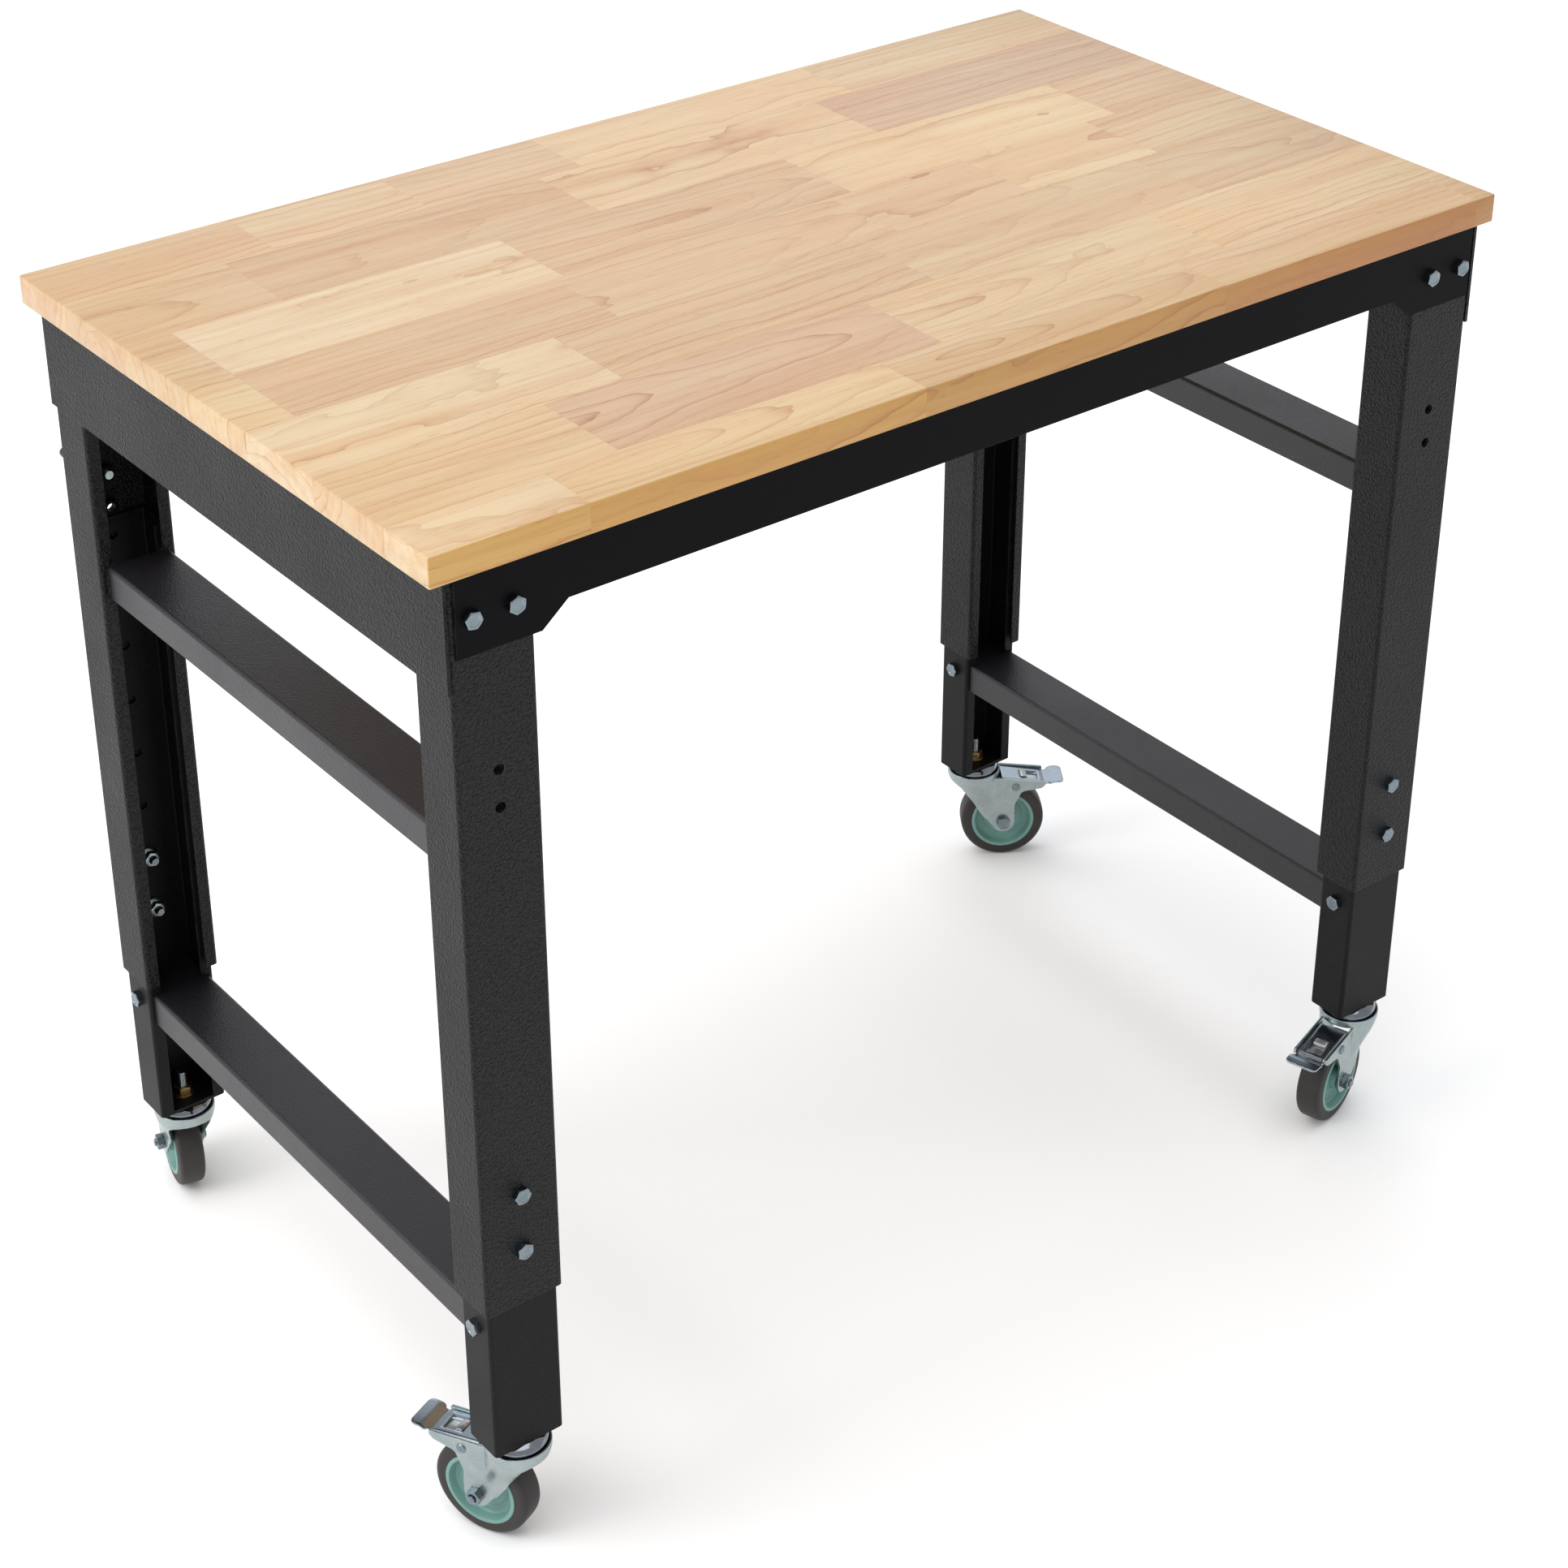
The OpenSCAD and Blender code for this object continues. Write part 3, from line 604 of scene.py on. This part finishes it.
def stave(bm, box, edges_out, tone, figure):
    """One stave: a block whose outer edges are eased and whose seams show as fine lines."""
    (x0, y0, z0), (x1, y1, z1) = box
    part = bmesh.new()
    corners = {}
    for i, x in enumerate((x0, x1)):
        for j, y in enumerate((y0, y1)):
            for k, z in enumerate((z0, z1)):
                corners[i, j, k] = part.verts.new((x, y, z))
    for axis in range(3):
        for side in (0, 1):
            ring = []
            for a, b in ((0, 0), (1, 0), (1, 1), (0, 1)):
                key = [a, b]
                key.insert(axis, side)
                ring.append(corners[tuple(key)])
            part.faces.new(ring)
    bmesh.ops.recalc_face_normals(part, faces=part.faces)
    wide, fine = [], []
    for edge in part.edges:
        out = 0
        for face in edge.link_faces:
            n = face.normal
            out += (n.z != 0) or (n.x < 0 and edges_out[0]) or (n.x > 0 and edges_out[1]) \
                or (n.y < 0 and edges_out[2]) or (n.y > 0 and edges_out[3])
        (wide if out == 2 else fine).append(edge)
    if wide:
        made = bmesh.ops.bevel(part, geom=wide, offset=0.0013, segments=3, affect="EDGES", profile=0.5)
        touched = {e for f in made["faces"] for e in f.edges}
        fine = [e for e in part.edges if e.calc_face_angle(0) > 1.2 and e not in touched]
    bmesh.ops.bevel(part, geom=fine, offset=0.00009, segments=1, affect="EDGES")
    middle = ((x0 + x1) / 2, (y0 + y1) / 2, (z0 + z1) / 2)
    side = DRAWS.choice((-1, 1))
    if figure == "c":
        pith = (DRAWS.uniform(-0.05, 0.05), DRAWS.uniform(-0.012, 0.012), side * DRAWS.uniform(0.016, 0.030))
        lean = (DRAWS.uniform(-0.02, 0.02), side * DRAWS.uniform(0.07, 0.13), 0)
    elif figure == "s":
        pith = (0, side * DRAWS.uniform(0.06, 0.11), DRAWS.uniform(-0.02, 0.02))
        lean = (DRAWS.uniform(-0.03, 0.03), 0, 0)
    else:
        pith = (0, DRAWS.uniform(-0.03, 0.03), side * DRAWS.uniform(0.09, 0.16))
        lean = (DRAWS.uniform(-0.01, 0.01), DRAWS.uniform(-0.02, 0.02), 0)
    seed = DRAWS.uniform(3, 90)
    jitter = DRAWS.uniform(0.96, 1.04)
    for key in ("pith", "lean"):
        part.verts.layers.float_vector.new(key)
    tone_layer = part.verts.layers.float_color.new("tone")
    pith_layer, lean_layer = (part.verts.layers.float_vector[key] for key in ("pith", "lean"))
    for v in part.verts:
        v[pith_layer] = Vector(middle) + Vector(pith)
        v[lean_layer] = (lean[0], lean[1], seed)
        v[tone_layer] = (*(c * jitter for c in tone), 1)
    absorb(bm, part)


def make_worktop(wood):
    low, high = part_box("worktop")
    bm = bmesh.new()
    scale = (high.y - low.y) / (sum(width for width, _ in ROWS) * MM)
    back = high.y
    for row, ((width, joints), kinds) in enumerate(zip(ROWS, STAVES)):
        front = back - width * MM * scale if row < len(ROWS) - 1 else low.y
        cuts = [low.x] + [low.x + j * MM for j in joints] + [high.x]
        for i, kind in enumerate(kinds.split()):
            tone, figure = kind.split("-")
            outer = (i == 0, i == len(joints), row == len(ROWS) - 1, row == 0)
            stave(bm, ((cuts[i], front, low.z), (cuts[i + 1], back, high.z)), outer, TONES[tone], figure)
        back = front
    finish_piece("worktop_staves", bm, wood, "bench_frame", ["worktop"], angle=30)


# ---------- fasteners ----------


def leg_place(corner, x, inward, z):
    """A point given from a leg's centre line and its outer face, millimetres, in bench coordinates."""
    low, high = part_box(corner + "_upper_leg")
    front = corner.startswith("front")
    face = low.y if front else high.y
    return Vector(((low.x + high.x) / 2 + x * MM, face + inward * MM * (1 if front else -1), z * MM))


def leg_inward(corner):
    return Vector((0, INWARD[corner.split("_")[0]], 0))


def make_frame_fasteners(zinc, bolt_zinc, coat):
    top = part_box("worktop")[0].z / MM
    bolts, nuts = bmesh.new(), bmesh.new()
    for corner in CORNERS:
        inward = leg_inward(corner)
        for x in (-18, 18):
            turn = DRAWS.uniform(0, math.pi / 3)
            hex_bolt(bolts, along(leg_place(corner, x, -2, top - APRON_BOLT_DROP), -inward, turn),
                     FLATS, HEAD, SHANK, 0.0125, 0.0085)
            hex_nut(nuts, along(leg_place(corner, x, 2, top - APRON_BOLT_DROP), inward, turn + 0.4),
                    FLATS, NUT, BORE)
    finish_piece("apron_hex_bolts", bolts, bolt_zinc, "bench_frame", ["apron_bolts"])
    finish_piece("apron_hex_nuts", nuts, zinc, "bench_frame", ["apron_nuts"])
    bolts, nuts, welded = bmesh.new(), bmesh.new(), bmesh.new()
    for corner in CORNERS:
        inward = leg_inward(corner)
        for k in (0, 1):
            turn = DRAWS.uniform(0, math.pi / 3)
            lock_z = LOCK_Z + LOCK_PITCH * k
            hex_bolt(bolts, along(leg_place(corner, 0, 0, lock_z), -inward, turn),
                     FLATS, HEAD, SHANK, 0.0178, 0.0125)
            hex_nut(nuts, along(leg_place(corner, 0, 5.3, lock_z), inward, turn + 0.5),
                    FLATS, 0.008, BORE, flange=0.0089)
            spot = along(leg_place(corner, 0, 2, top - SPARE_DROP + SPARE_PITCH * k), inward)
            lathe(welded, spot, [(3.7, 0), (6.9, 0), (6.9, 6.9), (4.4, 6.9), (3.7, 6.3)],
                  [0, 0, 0.8, 0.3, 0.3], 48)
            for a in range(3):
                t = 2 * math.pi * a / 3 + 0.4
                bead = Matrix.Translation((0.0062 * math.cos(t), 0.0062 * math.sin(t), 0))
                lathe(welded, spot @ bead, [(0.01, 0), (1.5, 0), (1.2, 1.0), (0.01, 1.3)], [0, 0, 0.5, 0], 16)
    finish_piece("height_hex_bolts", bolts, bolt_zinc, "bench_frame", ["height_bolts"])
    finish_piece("height_flange_nuts", nuts, zinc, "bench_frame", ["height_nuts"])
    finish_piece("spare_weld_nuts", welded, coat, "bench_frame", ["weld_nuts"])


def make_worktop_screws(zinc):
    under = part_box("worktop")[0].z
    low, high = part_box("worktop_screws")
    bm = bmesh.new()
    spots = [(x, y) for x in (-0.3, 0, 0.3) for y in (low.y + 0.0045, high.y - 0.0045)]
    spots += [(x, y) for y in (-0.15, 0.15) for x in (low.x + 0.0045, high.x - 0.0045)]
    cross = lambda wide, narrow: lambda a: narrow + (wide - narrow) * abs(math.cos(2 * a)) ** 6
    for x, y in spots:
        rings_mesh(bm, along((x, y, under - 0.002), -UP, DRAWS.uniform(0, 1.5)), [
            (0.002, -0.004), (0.002, 0), (0.0044, 0), (0.0045, 0.0004), (0.0041, 0.0015), (0.0031, 0.0022),
            (cross(0.0024, 0.0008), 0.0024), (cross(0.0021, 0.0006), 0.0012), (0.0004, 0.0011),
        ], 48)
    finish_piece("worktop_pan_screws", bm, zinc, "bench_frame", ["worktop_screws"])


def make_rear_knob(plastic, zinc):
    """Five-lobed hand knob on a stud."""
    spot = along(leg_place("rear_left", 0, 0, 754), -leg_inward("rear_left"))
    lobes = lambda cut: lambda a: (0.0158 - cut) + 0.0036 * math.cos(5 * (a - math.radians(90)))
    bm = bmesh.new()
    rings_mesh(bm, spot, [
        (0.0060, 0.0052), (0.0078, 0.0052), (0.0080, 0.0060), (0.0074, 0.012), (0.0078, 0.024),
        (0.0090, 0.0285), (lobes(0.0035), 0.0310), (lobes(0.0012), 0.0316), (lobes(0.0001), 0.0332),
        (lobes(0), 0.0385), (lobes(0.0004), 0.0425), (lobes(0.0018), 0.0448), (lobes(0.0042), 0.0458),
        (0.0085, 0.0455), (0.0080, 0.0446), (0.0010, 0.0446),
    ], 120)
    finish_piece("rear_lobed_knob", bm, plastic, "bench_frame", ["rear_knob"], angle=50)
    bm = bmesh.new()
    lathe(bm, spot, [(3.0, 4.9), (6.4, 4.9), (6.4, 5.6), (3.0, 5.6)], 0.15, 48)
    rings_mesh(bm, spot, thread_rings(-0.0115, 0.0055, 0.00395, 0.00125) + [(0.003, 0.0056)], 24)
    finish_piece("rear_knob_stud", bm, zinc, "bench_frame")


def make_side_fasteners(side, zinc, bolt_zinc, brass, chrome):
    body = side + "_lower_frame"
    rail_low, rail_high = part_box(side + "_foot_rail")
    bolts_low, bolts_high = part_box(side + "_foot_bolts")
    height = (bolts_low.z + bolts_high.z) / 2
    bolts, nuts = bmesh.new(), bmesh.new()
    centre = (rail_low.x + rail_high.x) / 2
    for end in ("front", "rear"):
        y = leg_place(end + "_" + side, 0, 23, 0).y
        for way in (-1, 1):
            out, turn = Vector((way, 0, 0)), DRAWS.uniform(0, math.pi / 3)
            hex_bolt(bolts, along((centre + way * 0.0325, y, height), out, turn),
                     FLATS, HEAD, SHANK, 0.0158, 0.012)
            hex_nut(nuts, along((centre + way * 0.0260, y, height), -out, turn + 0.3), FLATS, NUT, BORE)
    finish_piece(side + "_foot_hex_bolts", bolts, bolt_zinc, body, [side + "_foot_bolts"])
    finish_piece(side + "_foot_hex_nuts", nuts, zinc, body, [side + "_foot_nuts"])
    stems, races, brasses = bmesh.new(), bmesh.new(), bmesh.new()
    for end in ("front", "rear"):
        spot = Matrix.Translation(Vector(JOINTS[end + "_" + side + "_swivel"]["pos_m"]) * Vector((1, 1, 0)))
        rings_mesh(stems, spot, [(0.005, 0.0955), (0.005, 0.118)]
                   + thread_rings(0.119, 0.1420, 0.005, 0.0015) + [(0.0040, 0.1429)], 24)
        lathe(stems, spot, [(4.5, 97.5), (11, 97.5), (11, 101.1), (4.5, 101.1)], [0, 0.8, 0.4, 0], 64)
        lathe(races, spot, [(4.6, 115.9), (19, 115.9), (23.4, 113.6), (25.2, 110.2), (25.2, 106), (23, 106),
                            (23, 109), (4.6, 109)], [0, 2.5, 3.0, 1.6, 0.3, 0.3, 1, 0], 96)
        base = spot @ Matrix.Translation((0, 0, 0.119))
        lathe(brasses, base, [(5.0, 0), (10.4, 0), (10.4, 1.6), (5.0, 1.6)], 0.25, 64)
        turned = Matrix.Rotation(DRAWS.uniform(0, 1), 4, "Z")
        hex_nut(brasses, base @ Matrix.Translation((0, 0, 0.0016)) @ turned, 0.0158, 0.0080, 0.0048)
    finish_piece(side + "_stem_studs", stems, zinc, body, [side + "_castor_stems"])
    finish_piece(side + "_race_caps", races, chrome, body)
    finish_piece(side + "_stem_hex_nuts", brasses, brass, body, [side + "_stem_nuts"])


# ---------- welds ----------


def weld_bead(bm, start, end, radius, up, out):
    """A run of overlapping ripples along a seam, lying in the corner between up and out."""
    start, end = Vector(start), Vector(end)
    line = end - start
    count = max(3, round(line.length / (radius * 0.55)))
    up, out = Vector(up).normalized(), Vector(out).normalized()
    rings, sides = [], 10
    for k in range(count * 3 + 1):
        t = k / (count * 3)
        ripple = 0.82 + 0.18 * abs(math.cos(math.pi * k / 3)) + DRAWS.uniform(-0.04, 0.04)
        taper = min(1.0, 6 * t + 0.25, 6 * (1 - t) + 0.25)
        ring = []
        for s in range(sides):
            a = 2 * math.pi * s / sides
            r = radius * ripple * taper
            ring.append(bm.verts.new(start + line * t + (up * math.sin(a) + out * math.cos(a)) * r))
        rings.append(ring)
    for low, high in zip(rings, rings[1:]):
        for s in range(sides):
            n = (s + 1) % sides
            bm.faces.new((low[s], low[n], high[n], high[s]))
    bm.faces.new(reversed(rings[0]))
    bm.faces.new(rings[-1])


def make_welds(coat):
    bm = bmesh.new()
    for side in SIDES:
        low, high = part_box(side + "_mid_rail")
        for y, way in ((low.y, 1), (high.y, -1)):
            for x, out in ((low.x, -1), (high.x, 1)):
                weld_bead(bm, (x, y, high.z - 0.004), (x, y, low.z + 0.003), 0.0016, (0, way, 0), (out, 0, 0))
            for x in (low.x + 0.0045, high.x - 0.0045):
                weld_bead(bm, (x - 0.003, y, high.z), (x + 0.003, y, high.z), 0.0014, (0, 0, 1), (0, way, 0))
    finish_piece("mid_rail_welds", bm, coat, "bench_frame", angle=80)


# ---------- castors ----------

CROWN, CHEEK, TRAIL, AXLE = 28.0, 17.5, 32.0, 45.0
ARM_END = 76.5
S_FRONT, S_SIDE, S_ARM = 34.0, 50.0, 104.6     # breakpoints of the path round half of a fork


def castor_matrix(corner):
    """Takes castor coordinates (x towards the pedal, z up from the floor) to the bench."""
    across = Vector(JOINTS[corner + "_roll"]["axis"])
    place = Vector(JOINTS[corner + "_swivel"]["pos_m"])
    turn = Matrix((Vector((across.y, -across.x, 0)), across, UP)).transposed().to_4x4()
    return Matrix.Translation((place.x, place.y, 0)) @ turn


def ease(t):
    t = min(1.0, max(0.0, t))
    return t * t * (3 - 2 * t)


def fork_point(s, z):
    """Where a point of the fork's skin lies, in castor millimetres: s runs from the front round
    one half and back along its cheek."""
    side, a = (1 if s >= 0 else -1), abs(s)
    rim = CROWN - 0.6
    if a <= S_FRONT:
        t = math.pi / 2 * a / S_FRONT
        low = Vector((14 - 26 * math.cos(t), CHEEK * math.sin(t)))
        top = Vector((-rim * math.cos(t), rim * math.sin(t)))
    else:
        past = min(1.0, (a - S_FRONT) / (S_SIDE - S_FRONT))
        turn = math.pi / 2 + (math.radians(141.3) - math.pi / 2) * past
        top = Vector((-rim * math.cos(turn), rim * math.sin(turn)))
        low = Vector((14 + 10 * past, CHEEK))
        if a > S_SIDE:
            t = (a - S_SIDE) / (S_ARM - S_SIDE)
            low = Vector((24 + (ARM_END - 24) * t, CHEEK))
            top = Vector((top.x + (ARM_END - top.x) * t, top.y + (CHEEK - top.y) * min(1.0, t * 12)))
    mixed = low.lerp(top, ease((z - 60) / 42))
    return (mixed.x, side * mixed.y, z)


def path_at(x):
    """The path length round a fork at which its lower skin has this x."""
    if x <= 14:
        return S_FRONT * math.acos(min(1.0, max(-1.0, (14 - x) / 26))) / (math.pi / 2)
    if x <= 24:
        return S_FRONT + (x - 14) / 10 * (S_SIDE - S_FRONT)
    return S_SIDE + (x - 24) / (ARM_END - 24) * (S_ARM - S_SIDE)


def fork_half_edge():
    """Lower edge of half a fork from the front round the axle to the arm, then its upper edge back."""
    edge = [(S_FRONT * a / 90, z) for a, z in (
        (0, 97.2), (20, 96.8), (38, 95), (50, 91.5), (54.5, 84), (57.5, 75), (65, 63), (84, 51))]
    for k in range(13):
        a = math.radians(222 + (360 - 222) * k / 12)
        edge.append((path_at(TRAIL + 12 * math.cos(a)), AXLE + 12 * math.sin(a)))
    tail = rounded([(44, 46), (43.5, 66), (52, 83.2), (72.5, 86.6), (ARM_END, 90), (ARM_END, 94.2),
                    (24, 100.6)], [0, 9, 7, 3, 1.5, 1.5, 0], 6, closed=False)
    edge += [(path_at(x), z) for x, z in tail[1:]]
    return edge


def make_fork(corner, place, zinc):
    half = fork_half_edge()
    top = [(S_SIDE - 6, 100.8), (S_FRONT, 100.8), (S_FRONT / 2, 100.8)]
    outline = half + top + [(-s, z) for s, z in reversed(top)] + [(-s, z) for s, z in reversed(half[1:])]
    # both halves share the lower front point, and the upper edge closes across s = 0
    skin = stamped(outline, [], fork_point, 2.2)
    bmesh.ops.recalc_face_normals(skin, faces=skin.faces)
    probe = min(skin.faces, key=lambda f: -abs(f.calc_center_median().y))
    if probe.normal.y * probe.calc_center_median().y < 0:
        bmesh.ops.reverse_faces(skin, faces=skin.faces)
    bm = bmesh.new()
    absorb(bm, thicken(skin, 2.3, 0.45), place)
    lathe(bm, place, [
        (5.6, 101.5), (24.5, 101.5), (25.4, 100.4), (27.6, 100.4), (28, 101.6), (28, 107.4), (26.2, 107.4),
        (25.8, 104), (5.6, 104),
    ], [0.3, 1.2, 0.5, 0.5, 0.8, 0.9, 0.7, 1.2, 0.3], 96)
    finish_piece(corner + "_fork_pressing", bm, zinc, corner + "_castor", [corner + "_fork"],
                 angle=42)


def make_axle(corner, place, bolt_zinc):
    bm = bmesh.new()
    axle = place @ Matrix.Translation((TRAIL * MM, 0, AXLE * MM))
    left = axle @ along((0, -0.0175, 0), (0, -1, 0), DRAWS.uniform(0, 1))
    right = axle @ along((0, 0.0175, 0), (0, 1, 0), DRAWS.uniform(0, 1))
    hex_bolt(bm, left, FLATS, HEAD, SHANK, 0.0435, 0.012)
    hex_nut(bm, right, FLATS, NUT, BORE)
    lathe(bm, axle @ along((0, 0, 0), (0, 1, 0)),
          [(4.05, -15.1), (6, -15.1), (6, 15.1), (4.05, 15.1)], 0.2, 48)
    for way in (-1, 1):
        rivet = place @ along((0.0446, way * 0.0133, 0.0889), (0, way, 0))
        rings_mesh(bm, rivet, [(0.0025, 0), (0.0025, 0.0042), (0.0045, 0.0042), (0.0045, 0.0048),
                               (0.0040, 0.0055), (0.0029, 0.00595), (0.0014, 0.0060), (0.0005, 0.0057)], 40)
    finish_piece(corner + "_axle_fittings", bm, bolt_zinc, corner + "_castor",
                 [corner + "_axle_set"])


def make_pedal(corner, place, pedal_zinc, shoe_zinc):
    start, end = Vector((30.0, 98.6)), Vector((ARM_END + 1, 91.4))
    run = (end - start).length
    slope = (end - start).normalized()

    def on_plate(x, y):
        drop = -0.9 * ease((x - run + 4) / 3) * (1 - ease((x - run + 1) / 3))
        drop += 4.0 * ease((x - run) / 10) + max(0.0, x - run - 8) * 0.10
        drop -= 0.9 * ease((abs(y) - 12.8) / 2.0) if x < run - 2 else 0.0
        lift = Vector((-slope.y, slope.x)) * drop
        return (start.x + slope.x * x + lift.x, y, start.y + slope.y * x + lift.y)

    w = 14.6
    tab = [(run - 0.5, -w), (run + 0.8, -13.6), (run + 2.4, -13.6), (run + 4.2, -16.5), (run + 18.8, -16.5)]
    outline = rounded([(0, -w)] + tab + [(x, -y) for x, y in reversed(tab)] + [(0, w)],
                      [1, 0, 1, 1.5, 2.5, 6, 6, 2.5, 1.5, 1, 0, 1], 6)
    a, b = run * 0.42, run * 0.42 + 20
    window = rounded([(a, -7.5), (b, -7.5), (b, 7.5), (a, 7.5)], 1.2, 4)
    skin = stamped(outline, [window], on_plate, 2.0)
    bmesh.ops.recalc_face_normals(skin, faces=skin.faces)
    if sum(f.normal.z for f in skin.faces) < 0:
        bmesh.ops.reverse_faces(skin, faces=skin.faces)
    bm = bmesh.new()
    absorb(bm, thicken(skin, 1.6, 0.4), place)
    ear = rounded([(34, 95), (40, 84.8), (46, 83.6), (50, 85.6), (60, 90.0), (74, 90.4), (74, 91.6),
                   (34, 97.2)], [1, 2, 2, 2, 2, 0.5, 0.3, 0.5], 4)
    for way in (-1, 1):
        part = bmesh.new()
        low, high = (13.1, 14.6) if way > 0 else (-14.6, -13.1)
        slab(part, ear, low, high, 0.35, lambda x, z, y: (x, y, z))
        absorb(bm, part, place)
    finish_piece(corner + "_pedal_pressing", bm, pedal_zinc, corner + "_pedal",
                 [corner + "_brake_pedal"], angle=42)
    shoe = rounded([(46, 94.0), (62, 91.6), (74, 89.9), (74, 88.9), (61, 89.2), (60.2, 84.8), (58.6, 84.9),
                    (58.5, 89.6), (46, 91.3)], 0.4, 3)
    bm = bmesh.new()
    slab(bm, shoe, -7.2, 7.2, 0.4, lambda x, z, y: (x, y, z))
    latch = rounded([(50, 92.8), (50.6, 96.4), (53.2, 96.9), (57.6, 95.6), (58.6, 92.6)], 0.9, 4)
    slab(bm, latch, -6.6, 6.6, 0.6, lambda x, z, y: (x, y, z))
    bmesh.ops.transform(bm, matrix=place, verts=bm.verts)
    finish_piece(corner + "_shoe_spring", bm, shoe_zinc, corner + "_pedal",
                 [corner + "_brake_shoe"])


def make_wheel(corner, place, teal, rubber):
    axle = place @ Matrix.Translation((TRAIL * MM, 0, AXLE * MM)) @ along((0, 0, 0), (0, 1, 0))
    side = [(33.7, 12.6), (33.1, 13), (30.6, 13), (30.2, 12.4), (28.2, 6.4), (26.4, 5.0), (23.2, 5.0),
            (22.6, 5.7), (21.6, 5.7), (20.4, 4.6), (14.2, 5.2), (12.0, 7.0), (11.2, 12.6), (10.6, 13),
            (6.05, 13)]
    bm = bmesh.new()
    lathe(bm, axle, side + [(r, -h) for r, h in reversed(side)], 0.5, 128, 3)
    finish_piece(corner + "_hub_moulding", bm, teal, corner + "_wheel",
                 [corner + "_hub"], angle=40)
    shoulder = [(33.7, 12.4), (38.8, 12.4)]
    for k in range(1, 9):
        a = math.radians(90 - 10 * k)
        shoulder.append((38.4 + 6.3 * math.cos(a), 8.4 + 4.0 * math.sin(a)))
    shoulder += [(44.88, 7.2), (44.98, 3.5), (45.0, 0.35)]
    bm = bmesh.new()
    lathe(bm, axle, shoulder + [(r, -h) for r, h in reversed(shoulder)], 0, 144, 1)
    finish_piece(corner + "_tyre_tread", bm, rubber, corner + "_wheel",
                 [corner + "_tyre"], angle=40)


# ---------- the bench ----------

make_camera()
make_light()

wood = wood_material()
# name, grain size, grain depth, roughness, colour, specular level, painted shade in the pits
hammered = powder_coat("black_leather_coat", 0.0020, 0.0012, 0.43, (0.0155, 0.0147, 0.0160), 0.19, 0.05)
rail_coat = powder_coat("black_rail_coat", 0.0014, 0.00022, 0.38, (0.0110, 0.0103, 0.0140), 0.45, 0.6)
lower_coat = powder_coat("black_lower_leg_coat", 0.0012, 0.0002, 0.44, (0.0095, 0.0090, 0.0092), 0.12, 0.5)
smooth_coat = powder_coat("black_satin_coat", 0.0009, 0.00008, 0.42, (0.0036, 0.0036, 0.0045), 0.05, 0.8)
zinc = plated("blue_zinc", (0.31, 0.375, 0.395), (0.40, 0.445, 0.43), 0.26, 0.20, 0.4)
pedal_zinc = plated("pedal_zinc", (0.30, 0.36, 0.42), (0.37, 0.42, 0.46), 0.20, 0.20, 0.3)
bolt_zinc = plated("bright_zinc", (0.15, 0.20, 0.23), (0.24, 0.28, 0.30), 0.20, 0.18, 0.2)
shoe_zinc = plated("spring_zinc", (0.54, 0.56, 0.57), (0.48, 0.50, 0.52), 0.30, 0.2, 0.3)
# painted reflection: the race chrome's base colour is set far darker than chrome, standing in for dark
# surroundings in its reflections
chrome = plated("race_chrome", (0.17, 0.19, 0.215), (0.27, 0.29, 0.32), 0.07, 0.20, 0.1)
brass = plated("yellow_zinc", (0.56, 0.42, 0.17), (0.48, 0.33, 0.12), 0.30, 0.2, 0.2)
teal = moulded("teal_hub", (0.170, 0.335, 0.300), (0.145, 0.300, 0.268), 0.40, 0.0006, 0.00003)
rubber = moulded("grey_tyre", (0.023, 0.0215, 0.0215), (0.034, 0.0280, 0.0240), 0.55, 0.0005, 0.00005, 0.35)
knob = moulded("black_knob", (0.014, 0.014, 0.015), (0.018, 0.018, 0.019), 0.42, 0.0006, 0.00004)

make_worktop(wood)
for name in ("front_apron", "rear_apron"):
    refine(name, smooth_coat)
for side in SIDES:
    refine(side + "_end_rail", hammered, 0.0012, 3)
    refine(side + "_mid_rail", rail_coat)
    refine(side + "_foot_rail", rail_coat)
for corner in CORNERS:
    refine(corner + "_upper_leg", hammered)
    refine(corner + "_lower_leg", lower_coat)
make_welds(hammered)
make_frame_fasteners(zinc, bolt_zinc, smooth_coat)
make_worktop_screws(zinc)
make_rear_knob(knob, zinc)
for side in SIDES:
    make_side_fasteners(side, zinc, bolt_zinc, brass, chrome)
    frame["nodes"][side + "_swivel_balls"].data.materials.clear()
    frame["nodes"][side + "_swivel_balls"].data.materials.append(chrome)
for corner in CORNERS:
    place = castor_matrix(corner)
    make_fork(corner, place, zinc)
    make_axle(corner, place, bolt_zinc)
    make_pedal(corner, place, pedal_zinc, shoe_zinc)
    make_wheel(corner, place, teal, rubber)

floor = bpy.data.objects.new("floor", bpy.data.meshes.new("floor"))
ground = bmesh.new()
bmesh.ops.create_grid(ground, x_segments=8, y_segments=8, size=8)
ground.to_mesh(floor.data)
ground.free()
floor.data.materials.append(floor_material())
bpy.context.scene.collection.objects.link(floor)
